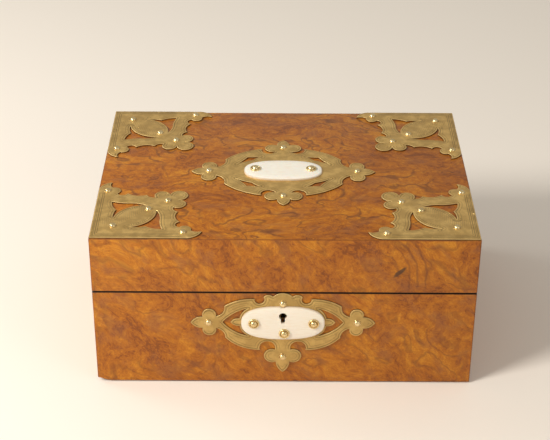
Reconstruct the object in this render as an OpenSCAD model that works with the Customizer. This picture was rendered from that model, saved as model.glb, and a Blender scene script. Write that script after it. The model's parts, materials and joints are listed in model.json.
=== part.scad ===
// Antique fitted dressing box in millimetres, +Z up, seen from the front along +Y.
// The origin is on the table, under the middle of the case.

/* [Case] */
// Width of the closed case over the veneer
case_w = 280; // [240:1:340]
// Depth of the closed case over the veneer
case_d = 202; // [180:1:250]
// Height of the base's rim above the table
base_h = 80.6; // [76:0.1:110]
// Height of the lid over the veneer
lid_h = 44.9; // [38:0.1:60]
// Gap between the base's rim and the closed lid
seam_gap = 0.5; // [0.3:0.05:1]
// Thickness of the side boards
board_t = 9; // [8.5:0.5:12]
// Thickness of the bottom board
bottom_t = 7; // [4:0.5:10]
// Thickness of the lid's top board
top_t = 8; // [5:0.5:10]
// Thickness of the burr veneer
veneer_t = 1; // [0.6:0.1:1.6]
// Thickness of the baize under the base
baize_t = 1; // [0.6:0.1:2]
// Distance of the baize from the case's edges
baize_inset = 3; // [1:0.5:10]

/* [Lining and tray] */
// Thickness of the velvet lining
lining_t = 0.8; // [0.5:0.1:1.5]
// Height of the boards that carry the tray, above the bottom board
rest_h = 40; // [25:1:48]
// Thickness of the boards that carry the tray
rest_t = 3; // [2:0.5:5]
// Running gap between the tray and the lining
tray_gap = 0.8; // [0.5:0.1:1.5]
// Gap under the tray where it sits on its boards
seat_gap = 0.3; // [0.2:0.05:0.5]
// Height of the tray
tray_h = 27; // [16:1:30]
// Thickness of the tray's sides
tray_wall = 3; // [2:0.5:4]
// Thickness of the tray's bottom
tray_bottom_t = 2.5; // [1.5:0.5:4]
// Thickness of the tray's dividers
divider_t = 2.4; // [1.6:0.2:4]
// How far the dividers stay below the tray's rim
divider_drop = 3; // [1:0.5:6]
// Width of the tray's left and right columns
column_w = 62; // [45:1:75]
// Number of ring rolls in the left column
roll_count = 7; // [4:1:8]
// Height of the ring rolls
roll_h = 15; // [8:1:16]
// Diameter of the tray's lifting knobs
knob_d = 6.4; // [5:0.2:9]
// Height of the lifting knobs above the dividers
knob_h = 7; // [5:0.5:8]

/* [Lid fittings] */
// Thickness of the padded silk under the lid's top
pad_t = 5; // [3:0.5:8]
// Width of the mirror frame
mirror_w = 200; // [140:1:210]
// Depth of the mirror frame
mirror_d = 130; // [90:1:140]
// Width of the mirror frame's moulding
frame_w = 13; // [8:1:18]
// Thickness of the mirror frame
frame_t = 8; // [7:0.5:10]
// Thickness of the mirror glass
glass_t = 3; // [2:0.5:3]
// Thickness of the board behind the glass
mirror_back_t = 2; // [1:0.5:2.5]

/* [Brass and bone] */
// Thickness of the pierced brass mounts
mount_t = 1.2; // [0.8:0.1:2]
// Distance of the corner mounts from the lid's edges
mount_inset = 0.5; // [0:0.1:2]
// Thickness of the bone plaques at their edge
plaque_edge = 0.8; // [0.5:0.1:1.5]
// Rise of the bone plaques from their edge to the middle
plaque_rise = 1.2; // [0.8:0.1:2]
// Width of the plaques' rounded shoulder
plaque_shoulder = 6; // [4:0.5:10]
// Length of the plaque on the lid
lid_plaque_w = 60; // [50:0.5:64]
// Width of the plaque on the lid
lid_plaque_d = 30.5; // [24:0.5:32]
// Length of the plaque on the front
front_plaque_w = 61.5; // [50:0.5:64]
// Height of the plaque on the front
front_plaque_h = 29; // [24:0.5:31]
// Distance of the escutcheon's middle below the base's rim
escutcheon_drop = 25.2; // [25.2:0.1:28]
// Height of the keyhole's round head above the escutcheon's middle
keyhole_rise = 6.6; // [4:0.1:8]
// Diameter of the small studs
stud_d = 6; // [4.5:0.1:7]
// Diameter of the studs on the plaques
big_stud_d = 8.2; // [6:0.1:9]
// Diameter of the studs' shanks
shank_d = 1.6; // [1.2:0.1:2]

/* [Lock and hinges] */
// Width of the lock
lock_w = 60; // [58:1:70]
// Height of the lock
lock_h = 32; // [30:1:36]
// Depth of the lock in the front board
lock_t = 6.4; // [6.2:0.1:8]
// Length of the lock's selvedge beyond each side of its case
selvedge_ear = 8; // [6:0.5:12]
// Thickness of the lock's plates
lock_plate_t = 1.2; // [0.8:0.1:1.4]
// Thickness of the bolt and of the hooks
bolt_t = 2; // [1.6:0.1:2.2]
// Travel of the bolt
bolt_travel = 4; // [3:0.1:4.2]
// Diameter of the keyhole's round head
keyhole_d = 6; // [4:0.1:7]
// Width of the keyhole's slot
keyhole_slot = 3; // [2:0.1:4]
// Height of the whole keyhole
keyhole_h = 9.2; // [8:0.1:11]
// Length of each hinge
hinge_l = 40; // [28:1:50]
// Distance of each hinge from the middle of the case
hinge_x = 85; // [50:1:110]
// Thickness of the hinge leaves
leaf_t = 1.8; // [1.2:0.1:2]
// Radius of the hinge knuckles
knuckle_r = 2.6; // [2.4:0.1:3]
// Diameter of the hinge pins
hinge_pin_d = 2.4; // [1.8:0.1:2.8]
// Number of knuckles in each hinge
knuckle_count = 5; // [3:2:7]
// Angle at which the hinges' tails meet
stop_angle = 102; // [95:1:110]

/* [Hidden] */
$fn = 48;

seam_z = base_h + seam_gap;
case_h = seam_z + lid_h;
wall_t = board_t + veneer_t;
floor_z = baize_t + bottom_t;
core_w = case_w - 2 * veneer_t;
core_d = case_d - 2 * veneer_t;
room_w = case_w - 2 * wall_t;
room_d = case_d - 2 * wall_t;
lid_roof_z = case_h - veneer_t - top_t;
rest_z = floor_z + rest_h;
tray_z = rest_z + seat_gap;
tray_w = room_w - 2 * (lining_t + tray_gap);
tray_d = room_d - 2 * (lining_t + tray_gap);
tray_room_w = tray_w - 2 * tray_wall;
tray_room_d = tray_d - 2 * tray_wall;
tray_floor_z = tray_z + tray_bottom_t;
divider_h = tray_h - tray_bottom_t - divider_drop;
divider_x = tray_room_w / 2 - column_w - divider_t / 2;
fit = 0.05;
running_gap = 0.2;
front_y = -case_d / 2;
back_y = case_d / 2;

// The lock lies in the inner face of the front board, under the rim.
lock_y = front_y + wall_t;
lock_back_y = lock_y - lock_t;
layer_gap = 0.3;
layer_y = lock_back_y + lock_plate_t + layer_gap + bolt_t / 2;
lock_screw_x = lock_w / 2 + selvedge_ear / 2;
escutcheon_z = base_h - escutcheon_drop;
keyhole_head_z = escutcheon_z + keyhole_rise;
hook_w = 6;
hook_x = 14;
hook_drop = 10;
notch_top = 4.4;
notch_h = 3.2;
notch_depth = 3.8;
tongue_play = 0.4;
tongue_gap = 0.5;
tongue_reach = 0.5;
hook_play = 0.8;
bolt_drop = 1;
bolt_bar_h = 5;
bolt_tail = 2;
arm_w = 3;
key_pin_d = 1.8;
keyhole_play = 0.4;
spring_foot = 1;
spring_h = 12;
spring_l = 8;
spring_rise = 1.5;
spring_t = 0.8;
screw_head_d = 4.4;
screw_head_h = 1.1;
screw_shank_d = 2.2;
screw_l = 6;
stud_ring_h = 0.5;
dome_r = 0.62;
dome_rise = 0.58;
stud_gap = 0.1;
plaque_t = plaque_edge + plaque_rise;

// The hinge axis lies behind the back face, at the height of the seam.
knuckle_gap = 0.4;
pin_gap = 0.2;
axis_y = back_y + knuckle_r + knuckle_gap;
axis_z = base_h + seam_gap / 2;
leaf_edge = 1;
leaf_d = wall_t - leaf_edge;
leaf_screw_inset = 6;
tail_l = 2.3;
tail_t = 1.4;
knuckle_pitch = hinge_l / knuckle_count;
leaf_end = axis_y - hinge_pin_d / 2 - pin_gap;
tail_foot = hinge_pin_d / 2 + 3 * pin_gap;

// The tray's cells, its rolls and the pins of its knobs
middle_w = 2 * divider_x - divider_t;
right_cell_d = (tray_room_d - 2 * divider_t) / 3;
roll_gap = 0.6;
knob_pin_d = 1.4;
knob_pin_l = 6;

// Under the lid's top
lid_wall_h = lid_roof_z - seam_z;
pad_z = lid_roof_z - pad_t;
pad_gap = 0.5;
glass_lap = 4;
glass_w = mirror_w - 2 * frame_w + 2 * glass_lap;
glass_d = mirror_d - 2 * frame_w + 2 * glass_lap;

// Circle through three points
function centre_of(a, m, b) =
    let (d = 2 * (a.x * (m.y - b.y) + m.x * (b.y - a.y) + b.x * (a.y - m.y)))
    [((a * a) * (m.y - b.y) + (m * m) * (b.y - a.y) + (b * b) * (a.y - m.y)) / d,
     ((a * a) * (b.x - m.x) + (m * m) * (a.x - b.x) + (b * b) * (m.x - a.x)) / d];
function turn(p, q) = let (t = atan2(q.y, q.x) - atan2(p.y, p.x)) t > 180 ? t - 360 : t < -180 ? t + 360 : t;

// Points of the arc that starts at a, passes m and ends just before b
function arc(a, m, b, step = 1.5) =
    let (c = centre_of(a, m, b), r = norm(a - c), sweep = turn(a - c, m - c) + turn(m - c, b - c),
         n = max(3, round(abs(sweep) * PI / 180 * r / step)), start = atan2(a.y - c.y, a.x - c.x))
    [for (i = [0 : n - 1]) c + r * [cos(start + sweep * i / n), sin(start + sweep * i / n)]];

// Closed outline through a list that goes corner, point on the way, corner, point on the way, and so on
function arcs(k) = [for (i = [0 : 2 : len(k) - 1]) each arc(k[i], k[i + 1], k[(i + 2) % len(k)])];
function backwards(k) = [for (i = [len(k) - 1 : -1 : 0]) k[i]];
function flip_x(k) = [for (p = k) [-p.x, p.y]];
function flip_y(k) = [for (p = k) [p.x, -p.y]];
function swap(k) = [for (p = k) [p.y, p.x]];

// Ellipse with squarer shoulders
function oval(w, d, power = 2.5, n = 64) =
    [for (i = [0 : n - 1]) let (a = 360 * i / n)
        [w / 2 * sign(cos(a)) * pow(abs(cos(a)), 2 / power),
         d / 2 * sign(sin(a)) * pow(abs(sin(a)), 2 / power)]];

// Half of the front escutcheon's edge, from beside the crown's middle lobe down to the lowest tip
escutcheon_half = [
    [7.2, 22.4], [10.9, 24], [14.3, 22.1], [17.6, 16.2], [20.8, 20.4], [32.8, 18.9], [43, 14],
    [45, 7.2], [49.2, 5.1], [54, 11.6], [59, 4.7], [64.3, 3.3], [67.8, -0.4],
    [64.3, -4], [59, -5.2], [54, -11.8], [49.2, -5.4], [45, -7.6], [42.5, -13.8],
    [33, -21.2], [17, -24.8], [11.3, -17.1], [5.8, -24.6], [13.9, -30.2], [5, -35.4], [4, -40.4]];
escutcheon_tip = [0, -45];
escutcheon_crown = [0, 25.6];
// Pierced crescent beside the plaque, with a leaf that points outwards
escutcheon_window = [
    [44.3, 0], [36.5, 7.4], [25.5, 12.2], [29.8, 8.4], [31.8, 3.2], [35.5, 2.8], [38.5, 0],
    [35.5, -2.8], [31.8, -3.2], [29.8, -8.4], [25.5, -12.2], [36.5, -7.6]];

// Quarter of the lid cartouche's edge, from beside the top tip to the side tip
cartouche_quarter = [
    [3.9, 47.4], [4.9, 42.6], [14.3, 38.3], [5.8, 33], [11.3, 29], [16.8, 36.6], [33.5, 29.7], [45, 19.3],
    [46.3, 10.8], [51.6, 6.4], [56.8, 14.4], [61.8, 5.2], [66.6, 3.9]];
cartouche_top = [0, 51.5];
cartouche_side = [70.5, 0];
// Pierced slot of the cartouche, with a cusp on each edge
cartouche_window = [
    [17.5, 23.5], [23.3, 23.2], [27.8, 23], [30.5, 18.4], [36.5, 11], [29.6, 15.4], [24, 17.6], [21.2, 20.9]];

// Half of a corner mount's edge, measured from the lid's two edges, from the straight edge to the trefoil's tip
corner_half = [
    [70, 0], [76, 2.6], [79.8, 9], [75.8, 8.2], [71.8, 10.2], [68.5, 16.4], [63.4, 14.4], [60.3, 17.8],
    [63.2, 22.2], [59.6, 29], [61, 36.6], [58.4, 38.4], [57.4, 43.4], [66.2, 46.4], [60.4, 54], [65.4, 65.4]];
corner_start = [0, 0];
// Pierced opening between the band, the strut and the diagonal leaf
corner_window = [
    [51, 11.6], [49.4, 17.4], [48.6, 23.6], [48.2, 31], [45.4, 38], [40.6, 22.4],
    [27, 14.4], [33, 14.2], [39, 15.6], [45, 12.4]];
corner_stud_points = [[53, 52], [39.5, 39.5], [15.5, 15.5], [66.5, 7], [7, 66.5]];

cartouche_at = [-1, -1.8];
escutcheon_x = -1;
cartouche_stud_points = [[0, 38.4], [0, -38.4], [57, 0], [-57, 0]];
lid_plaque_stud_points = [[-21.4, 0], [21.4, 0]];
escutcheon_stud_points = [[0, 16.6], [54.6, 0], [-54.6, 0], [0, -30.8]];
front_plaque_stud_points = [[-21.4, 0.4], [22.6, 0.4], [1, -8.4]];

mahogany = "#6b3a1f";
walnut = "#b46b32";
brass = "#b0965f";
bone = "#f5ebd7";
velvet = "#5c1a2b";

function escutcheon_outline() =
    arcs(concat(escutcheon_half, [escutcheon_tip], backwards(flip_x(escutcheon_half)), [escutcheon_crown]));

function cartouche_outline() =
    let (q = cartouche_quarter)
    arcs(concat([cartouche_top], q, [cartouche_side], backwards(flip_y(q)), [-cartouche_top],
        flip_x(flip_y(q)), [-cartouche_side], backwards(flip_x(q))));

// The lid's corner, half of the edge up to the trefoil's tip, and the same half again across the diagonal
function corner_outline() =
    let (half = [for (i = [1 : len(corner_half) - 2]) corner_half[i]], tip = corner_half[len(corner_half) - 1],
         a = corner_half[0])
    concat([corner_start], arcs_open(concat([a], half, [tip], backwards(swap(half)), [swap([a])[0]])));
function arcs_open(k) =
    [for (i = [0 : 2 : len(k) - 3]) each arc(k[i], k[i + 1], k[i + 2]), k[len(k) - 1]];

// A block given by its middle in X and Y, its foot in Z and its size
module block(x, y, z, w, d, h) {
    translate([x - w / 2, y - d / 2, z]) cube([w, d, h]);
}

// Countersunk wood screw with its head's face at z = 0 and its shank downwards
module screw(play = 0) {
    translate([0, 0, -screw_l]) cylinder(h = screw_l, d = screw_shank_d + 2 * play);
    translate([0, 0, -screw_head_h])
        cylinder(h = screw_head_h, d1 = screw_shank_d + 2 * play, d2 = screw_head_d + 2 * play);
}

// Domed stud that stands in a raised ring, with a shank through what it holds
module stud(d, grip) {
    r = d / 2;
    ring = [for (a = [0 : 45 : 180]) [0.85 * r + 0.15 * r * cos(a), stud_ring_h + 0.15 * r * sin(a)]];
    dome = [for (a = [0 : 15 : 75]) [dome_r * r * cos(a), stud_ring_h + dome_rise * r * sin(a)]];
    rotate_extrude() polygon(concat([[0, -grip], [shank_d / 2, -grip], [shank_d / 2, 0], [r, 0]],
        ring, dome, [[0, stud_ring_h + dome_rise * r]]));
}
module stud_holes(points, grip) {
    for (p = points) translate([p.x, p.y, -1]) cylinder(h = grip + 2, d = shank_d + 2 * fit);
}

// Bone plaque, flat on its back, built up in slices that follow its rounded shoulder
module plaque(w, d) {
    slices = 5;
    slice_t = plaque_rise / slices;
    linear_extrude(plaque_edge) polygon(oval(w, d));
    for (i = [1 : slices]) {
        inset = plaque_shoulder * (1 - cos(90 * i / slices));
        translate([0, 0, plaque_edge + (i - 1) * slice_t])
            linear_extrude(slice_t) polygon(oval(w - 2 * inset, d - 2 * inset));
    }
}

// Keyhole through whatever lies between the front and the lock, drawn in the front's plane
module keyhole(play = 0) {
    slot_h = keyhole_h - keyhole_d / 2;
    reach = wall_t - lock_plate_t - layer_gap;
    translate([0, front_y, 0]) rotate([90, 0, 0]) linear_extrude(2 * reach, center = true) {
        translate([escutcheon_x, keyhole_head_z]) circle(d = keyhole_d + 2 * play);
        translate([escutcheon_x - keyhole_slot / 2 - play, keyhole_head_z - slot_h - play])
            square([keyhole_slot + 2 * play, slot_h + play]);
    }
}

// Space of the lock in the front board, and of the link plate in the lid's front
module selvedge(z) {
    block(0, lock_y - lock_t / 2, z, lock_w + 2 * selvedge_ear, lock_t, lock_plate_t);
}
module lock_space() {
    block(0, lock_y - lock_t / 2, base_h - lock_h, lock_w, lock_t, lock_h);
    selvedge(base_h - lock_plate_t);
}
module link_space() {
    selvedge(seam_z);
}
module lock_screw_places() {
    for (x = [-lock_screw_x, lock_screw_x]) translate([x, lock_y - lock_t / 2, 0]) children();
}

// Places of the hinges and of the screws in one leaf
module hinge_places() {
    for (x = [-hinge_x, hinge_x]) translate([x, 0, 0]) children();
}
module leaf_screw_places() {
    reach = hinge_l / 2 - leaf_screw_inset;
    for (x = [-reach, 0, reach]) translate([x, back_y - wall_t / 2, 0]) children();
}
// Recess for the hinge leaves in a rim, from height z upwards
module leaf_space(z) {
    hinge_places() block(0, back_y - leaf_d / 2 + 1, z, hinge_l, leaf_d + 2, leaf_t);
}

// Case base
module base_front() {
    color(mahogany) difference() {
        block(0, front_y + veneer_t + board_t / 2, floor_z, core_w, board_t, base_h - floor_z);
        lock_space();
        keyhole(keyhole_play);
        lock_screw_places() translate([0, 0, base_h]) screw(fit);
    }
}
module base_back() {
    color(mahogany) difference() {
        block(0, back_y - veneer_t - board_t / 2, floor_z, core_w, board_t, base_h - floor_z);
        leaf_space(base_h - leaf_t);
        hinge_places() leaf_screw_places() translate([0, 0, base_h]) screw(fit);
    }
}
module side_board(side, z, h) {
    color(mahogany) block(side * (core_w - board_t) / 2, 0, z, board_t, core_d - 2 * board_t, h);
}
module base_left() side_board(-1, floor_z, base_h - floor_z);
module base_right() side_board(1, floor_z, base_h - floor_z);
module base_bottom() {
    color(mahogany) block(0, 0, baize_t, core_w, core_d, bottom_t);
}
module base_veneer() {
    color(walnut) difference() {
        block(0, 0, baize_t, case_w, case_d, base_h - baize_t);
        block(0, 0, baize_t - 1, core_w, core_d, base_h + 2);
        leaf_space(base_h - leaf_t);
        keyhole(keyhole_play);
    }
}
module base_baize() {
    color("darkgreen") block(0, 0, 0, case_w - 2 * baize_inset, case_d - 2 * baize_inset, baize_t);
}

// Lining and the boards that carry the tray
module floor_lining() {
    color(velvet) block(0, 0, floor_z, room_w - 2 * rest_t, room_d - 2 * rest_t, lining_t);
}
module wall_lining() {
    color(velvet) difference() {
        block(0, 0, rest_z, room_w, room_d, base_h - rest_z);
        block(0, 0, rest_z - 1, room_w - 2 * lining_t, room_d - 2 * lining_t, base_h);
    }
}
module rest_long(side) {
    color(mahogany) block(0, side * (room_d - rest_t) / 2, floor_z, room_w, rest_t, rest_h);
}
module rest_short(side) {
    color(mahogany) block(side * (room_w - rest_t) / 2, 0, floor_z, rest_t, room_d - 2 * rest_t, rest_h);
}
module rest_front() rest_long(-1);
module rest_back() rest_long(1);
module rest_left() rest_short(-1);
module rest_right() rest_short(1);

// Front escutcheon, its plaque and studs, drawn flat and stood against the front
module on_front(out = 0) {
    translate([escutcheon_x, front_y - out, escutcheon_z]) rotate([90, 0, 0]) children();
}
module escutcheon() {
    color(brass) difference() {
        on_front() difference() {
            linear_extrude(mount_t) polygon(escutcheon_outline());
            for (side = [0, 1]) mirror([side, 0, 0])
                translate([0, 0, -1]) linear_extrude(mount_t + 2) polygon(arcs(escutcheon_window));
            stud_holes(concat(escutcheon_stud_points, front_plaque_stud_points), mount_t);
        }
        keyhole();
    }
}
module escutcheon_plaque() {
    color(bone) difference() {
        on_front(mount_t) difference() {
            plaque(front_plaque_w, front_plaque_h);
            stud_holes(front_plaque_stud_points, plaque_t);
            translate([0, escutcheon_stud_points[0].y, -1])
                cylinder(h = plaque_t + 2, d = stud_d + 2 * stud_gap);
        }
        keyhole();
    }
}
module escutcheon_studs() {
    color(brass) on_front(mount_t) for (p = escutcheon_stud_points) translate(p) stud(stud_d, mount_t);
}
module plaque_studs_front() {
    out = mount_t + plaque_t;
    color(brass) on_front(out) for (p = front_plaque_stud_points) translate(p) stud(big_stud_d, out);
}

// Box lock with two tongues on its bolt
module hook_slots() {
    for (x = [-hook_x, hook_x])
        block(x, layer_y, base_h - 2 * lock_plate_t, hook_w + 2 * hook_play, bolt_t + 2 * hook_play,
            3 * lock_plate_t);
}
module lock_case() {
    color(brass) difference() {
        lock_space();
        block(0, (lock_back_y + lock_plate_t + lock_y + 1) / 2, base_h - lock_h + lock_plate_t,
            lock_w - 2 * lock_plate_t, lock_t - lock_plate_t + 1, lock_h - 2 * lock_plate_t);
        hook_slots();
        keyhole();
        lock_screw_places() translate([0, 0, base_h]) screw(fit);
    }
}
module lock_cap() {
    color(brass) block(0, lock_y - lock_plate_t / 2, base_h - lock_h + lock_plate_t,
        lock_w - 2 * lock_plate_t, lock_plate_t, lock_h - 2 * lock_plate_t);
}
module lock_key_pin() {
    color("silver") translate([escutcheon_x, lock_y - lock_plate_t, keyhole_head_z]) rotate([90, 0, 0])
        cylinder(h = lock_t - 2 * lock_plate_t, d = key_pin_d);
}
module lock_spring() {
    x = lock_w / 2 - lock_plate_t - spring_foot;
    color("silver") translate([x, layer_y, base_h - lock_h + lock_plate_t]) rotate([90, 0, 0])
        linear_extrude(bolt_t, center = true) polygon([[0, 0], [spring_foot, 0], [spring_foot, spring_h],
            [-spring_l, spring_h + spring_rise], [-spring_l, spring_h + spring_rise - spring_t],
            [0, spring_h - spring_t]]);
}
module lock_screws() {
    color(brass) lock_screw_places() translate([0, 0, base_h]) screw();
}
module lock_bolt() {
    bar_top = base_h - hook_drop - bolt_drop;
    tongue_z = base_h - notch_top - notch_h + tongue_play;
    tongue_h = notch_h - 2 * tongue_play;
    tongue_l = bolt_travel + tongue_reach;
    bar_left = -hook_x - hook_w / 2 - tongue_gap - tongue_l - arm_w;
    bar_right = hook_x + bolt_tail;
    color(brass) translate([0, layer_y, 0]) {
        block((bar_left + bar_right) / 2, 0, bar_top - bolt_bar_h, bar_right - bar_left, bolt_t, bolt_bar_h);
        for (x = [-hook_x, hook_x]) {
            tip = x - hook_w / 2 - tongue_gap;
            block(tip - tongue_l - arm_w / 2, 0, bar_top, arm_w, bolt_t, tongue_z + tongue_h - bar_top);
            block(tip - tongue_l / 2, 0, tongue_z, tongue_l, bolt_t, tongue_h);
        }
    }
}

// Stop hinges, whose tails meet behind the case when the lid is open
module knuckle(i, grow = 0) {
    translate([-hinge_l / 2 + i * knuckle_pitch + running_gap / 2 - grow, axis_y, axis_z]) rotate([0, 90, 0])
        cylinder(h = knuckle_pitch - running_gap + 2 * grow, r = knuckle_r + grow);
}
module leaf(up) {
    first = up ? 1 : 0;
    z = up ? seam_z : base_h - leaf_t;
    s = up ? 1 : -1;
    difference() {
        union() {
            block(0, (back_y - leaf_d + leaf_end) / 2, z, hinge_l, leaf_end - back_y + leaf_d, leaf_t);
            for (i = [first : 2 : knuckle_count - 1]) knuckle(i);
            translate([-hinge_l / 2, axis_y, axis_z]) rotate([s * stop_angle / 2, 0, 0])
                translate([0, tail_foot, up ? 0 : -tail_t])
                    cube([hinge_l, knuckle_r + tail_l - tail_foot, tail_t]);
        }
        for (i = [1 - first : 2 : knuckle_count - 1]) knuckle(i, running_gap);
        translate([-hinge_l, axis_y, axis_z]) rotate([0, 90, 0])
            cylinder(h = 2 * hinge_l, d = hinge_pin_d + 2 * fit);
        leaf_screw_places() translate([0, 0, up ? seam_z : base_h]) mirror([0, 0, up ? 1 : 0]) screw(fit);
    }
}
module hinge_base_leaves() {
    color(brass) hinge_places() leaf(false);
}
module hinge_lid_leaves() {
    color(brass) hinge_places() leaf(true);
}
module hinge_pins() {
    color("silver") hinge_places() translate([-hinge_l / 2, axis_y, axis_z]) rotate([0, 90, 0])
        cylinder(h = hinge_l, d = hinge_pin_d);
}
module hinge_screws_base() {
    color(brass) hinge_places() leaf_screw_places() translate([0, 0, base_h]) screw();
}
module hinge_screws_lid() {
    color(brass) hinge_places() leaf_screw_places() translate([0, 0, seam_z]) mirror([0, 0, 1]) screw();
}

// Lift-out tray
module tray_bottom() {
    color(mahogany) block(0, 0, tray_z, tray_w, tray_d, tray_bottom_t);
}
module tray_long_sides() {
    color(mahogany) for (s = [-1, 1])
        block(0, s * (tray_d - tray_wall) / 2, tray_floor_z, tray_w, tray_wall, tray_h - tray_bottom_t);
}
module tray_end_sides() {
    color(mahogany) for (s = [-1, 1])
        block(s * (tray_w - tray_wall) / 2, 0, tray_floor_z, tray_wall, tray_room_d, tray_h - tray_bottom_t);
}
module tray_dividers() {
    color(mahogany) {
        difference() {
            for (s = [-1, 1]) block(s * divider_x, 0, tray_floor_z, divider_t, tray_room_d, divider_h);
            knob_places() translate([0, 0, -knob_pin_l]) cylinder(h = knob_pin_l + 1, d = knob_pin_d + 2 * fit);
        }
        block(0, 0, tray_floor_z, middle_w, divider_t, divider_h);
        for (s = [-1, 1])
            block(tray_room_w / 2 - column_w / 2, s * (right_cell_d + divider_t) / 2, tray_floor_z,
                column_w, divider_t, divider_h);
    }
}
module tray_lining() {
    color(velvet) {
        for (s = [-1, 1])
            block(0, s * (tray_room_d + divider_t) / 4, tray_floor_z,
                middle_w, (tray_room_d - divider_t) / 2, lining_t);
        for (i = [-1 : 1])
            block(tray_room_w / 2 - column_w / 2, i * (right_cell_d + divider_t), tray_floor_z,
                column_w, right_cell_d, lining_t);
    }
}
module ring_rolls() {
    pitch = tray_room_d / roll_count;
    roll_d = pitch - roll_gap;
    color(velvet) for (i = [0 : roll_count - 1])
        translate([(roll_gap - tray_room_w) / 2, -tray_room_d / 2 + pitch * (i + 0.5), tray_floor_z])
            rotate([90, 0, 90]) linear_extrude(column_w - roll_gap) intersection() {
                union() {
                    translate([0, roll_h - roll_d / 2]) circle(d = roll_d);
                    translate([-roll_d / 2, 0]) square([roll_d, roll_h - roll_d / 2]);
                }
                translate([-roll_d, 0]) square([2 * roll_d, roll_h]);
            }
}
module knob_places() {
    for (s = [-1, 1]) translate([s * divider_x, 0, tray_floor_z + divider_h]) children();
}
module tray_knobs() {
    r = knob_d / 2;
    foot_r = 0.7 * r;
    neck_r = 0.36 * r;
    foot_h = 0.1 * knob_h;
    head = [for (a = [-50 : 20 : 70]) [r * cos(a), knob_h - r + r * sin(a)]];
    color(brass) knob_places() rotate_extrude() polygon(concat([[0, -knob_pin_l], [knob_pin_d / 2, -knob_pin_l],
        [knob_pin_d / 2, 0], [foot_r, 0], [foot_r, foot_h], [neck_r, 2 * foot_h]], head, [[0, knob_h]]));
}

// Lid boards, veneer and lining
module lid_front() {
    color(mahogany) difference() {
        block(0, front_y + veneer_t + board_t / 2, seam_z, core_w, board_t, lid_wall_h);
        link_space();
        lock_screw_places() translate([0, 0, seam_z]) mirror([0, 0, 1]) screw(fit);
    }
}
module lid_back() {
    color(mahogany) difference() {
        block(0, back_y - veneer_t - board_t / 2, seam_z, core_w, board_t, lid_wall_h);
        leaf_space(seam_z);
        hinge_places() leaf_screw_places() translate([0, 0, seam_z]) mirror([0, 0, 1]) screw(fit);
    }
}
module lid_left() side_board(-1, seam_z, lid_wall_h);
module lid_right() side_board(1, seam_z, lid_wall_h);
module lid_top() {
    color(mahogany) block(0, 0, lid_roof_z, core_w, core_d, top_t);
}
module lid_veneer() {
    color(walnut) difference() {
        block(0, 0, seam_z, case_w, case_d, lid_h);
        block(0, 0, seam_z - 1, core_w, core_d, lid_h - veneer_t + 1);
        leaf_space(seam_z);
    }
}
module lid_lining() {
    color(velvet) difference() {
        block(0, 0, seam_z, room_w, room_d, lid_wall_h - pad_t);
        block(0, 0, seam_z - 1, room_w - 2 * lining_t, room_d - 2 * lining_t, lid_wall_h);
    }
}

// Padded silk and the mirror under the lid's top
module lid_pad() {
    color("gold") block(0, 0, pad_z, room_w - 2 * pad_gap, room_d - 2 * pad_gap, pad_t);
}
module mirror_back() {
    color(mahogany) block(0, 0, pad_z - mirror_back_t, glass_w, glass_d, mirror_back_t);
}
module mirror_glass() {
    color("lightblue") block(0, 0, pad_z - mirror_back_t - glass_t, glass_w, glass_d, glass_t);
}
module mirror_frame() {
    color(brass) difference() {
        block(0, 0, pad_z - frame_t, mirror_w, mirror_d, frame_t);
        block(0, 0, pad_z - frame_t - 1, mirror_w - 2 * frame_w, mirror_d - 2 * frame_w, frame_t + 2);
        block(0, 0, pad_z - mirror_back_t - glass_t, glass_w, glass_d, frame_t);
    }
}

// Link plate in the lid's rim, with two hooks that reach down into the lock
module link_plate() {
    color(brass) {
        difference() {
            link_space();
            lock_screw_places() translate([0, 0, seam_z]) mirror([0, 0, 1]) screw(fit);
        }
        for (x = [-hook_x, hook_x]) translate([x, layer_y, 0]) difference() {
            block(0, 0, base_h - hook_drop, hook_w, bolt_t, hook_drop + seam_gap);
            block(-hook_w / 2, 0, base_h - notch_top - notch_h, 2 * notch_depth, 2 * bolt_t, notch_h);
        }
    }
}
module link_screws() {
    color(brass) lock_screw_places() translate([0, 0, seam_z]) mirror([0, 0, 1]) screw();
}

// Brass on the lid
module corner_mount(sx, sy) {
    color(brass) translate([sx * (case_w / 2 - mount_inset), sy * (case_d / 2 - mount_inset), case_h])
        mirror([sx > 0 ? 1 : 0, 0, 0]) mirror([0, sy > 0 ? 1 : 0, 0]) difference() {
            linear_extrude(mount_t) polygon(corner_outline());
            translate([0, 0, -1]) linear_extrude(mount_t + 2) {
                polygon(arcs(corner_window));
                polygon(arcs(swap(corner_window)));
            }
            stud_holes(corner_stud_points, mount_t);
        }
}
module mount_front_left() corner_mount(-1, -1);
module mount_front_right() corner_mount(1, -1);
module mount_back_left() corner_mount(-1, 1);
module mount_back_right() corner_mount(1, 1);
module mount_studs() {
    color(brass) for (sx = [-1, 1], sy = [-1, 1], p = corner_stud_points)
        translate([sx * (case_w / 2 - mount_inset - p.x), sy * (case_d / 2 - mount_inset - p.y), case_h])
            translate([0, 0, mount_t]) stud(stud_d, mount_t);
}
module on_lid(up = 0) {
    translate([cartouche_at.x, cartouche_at.y, case_h + up]) children();
}
module cartouche() {
    color(brass) on_lid() difference() {
        linear_extrude(mount_t) polygon(cartouche_outline());
        for (sx = [0, 1], sy = [0, 1]) mirror([sx, 0, 0]) mirror([0, sy, 0])
            translate([0, 0, -1]) linear_extrude(mount_t + 2) polygon(arcs(cartouche_window));
        stud_holes(concat(cartouche_stud_points, lid_plaque_stud_points), mount_t);
    }
}
module cartouche_studs() {
    color(brass) on_lid(mount_t) for (p = cartouche_stud_points) translate(p) stud(stud_d, mount_t);
}
module lid_plaque() {
    color(bone) on_lid(mount_t) difference() {
        plaque(lid_plaque_w, lid_plaque_d);
        stud_holes(lid_plaque_stud_points, plaque_t);
    }
}
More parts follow.
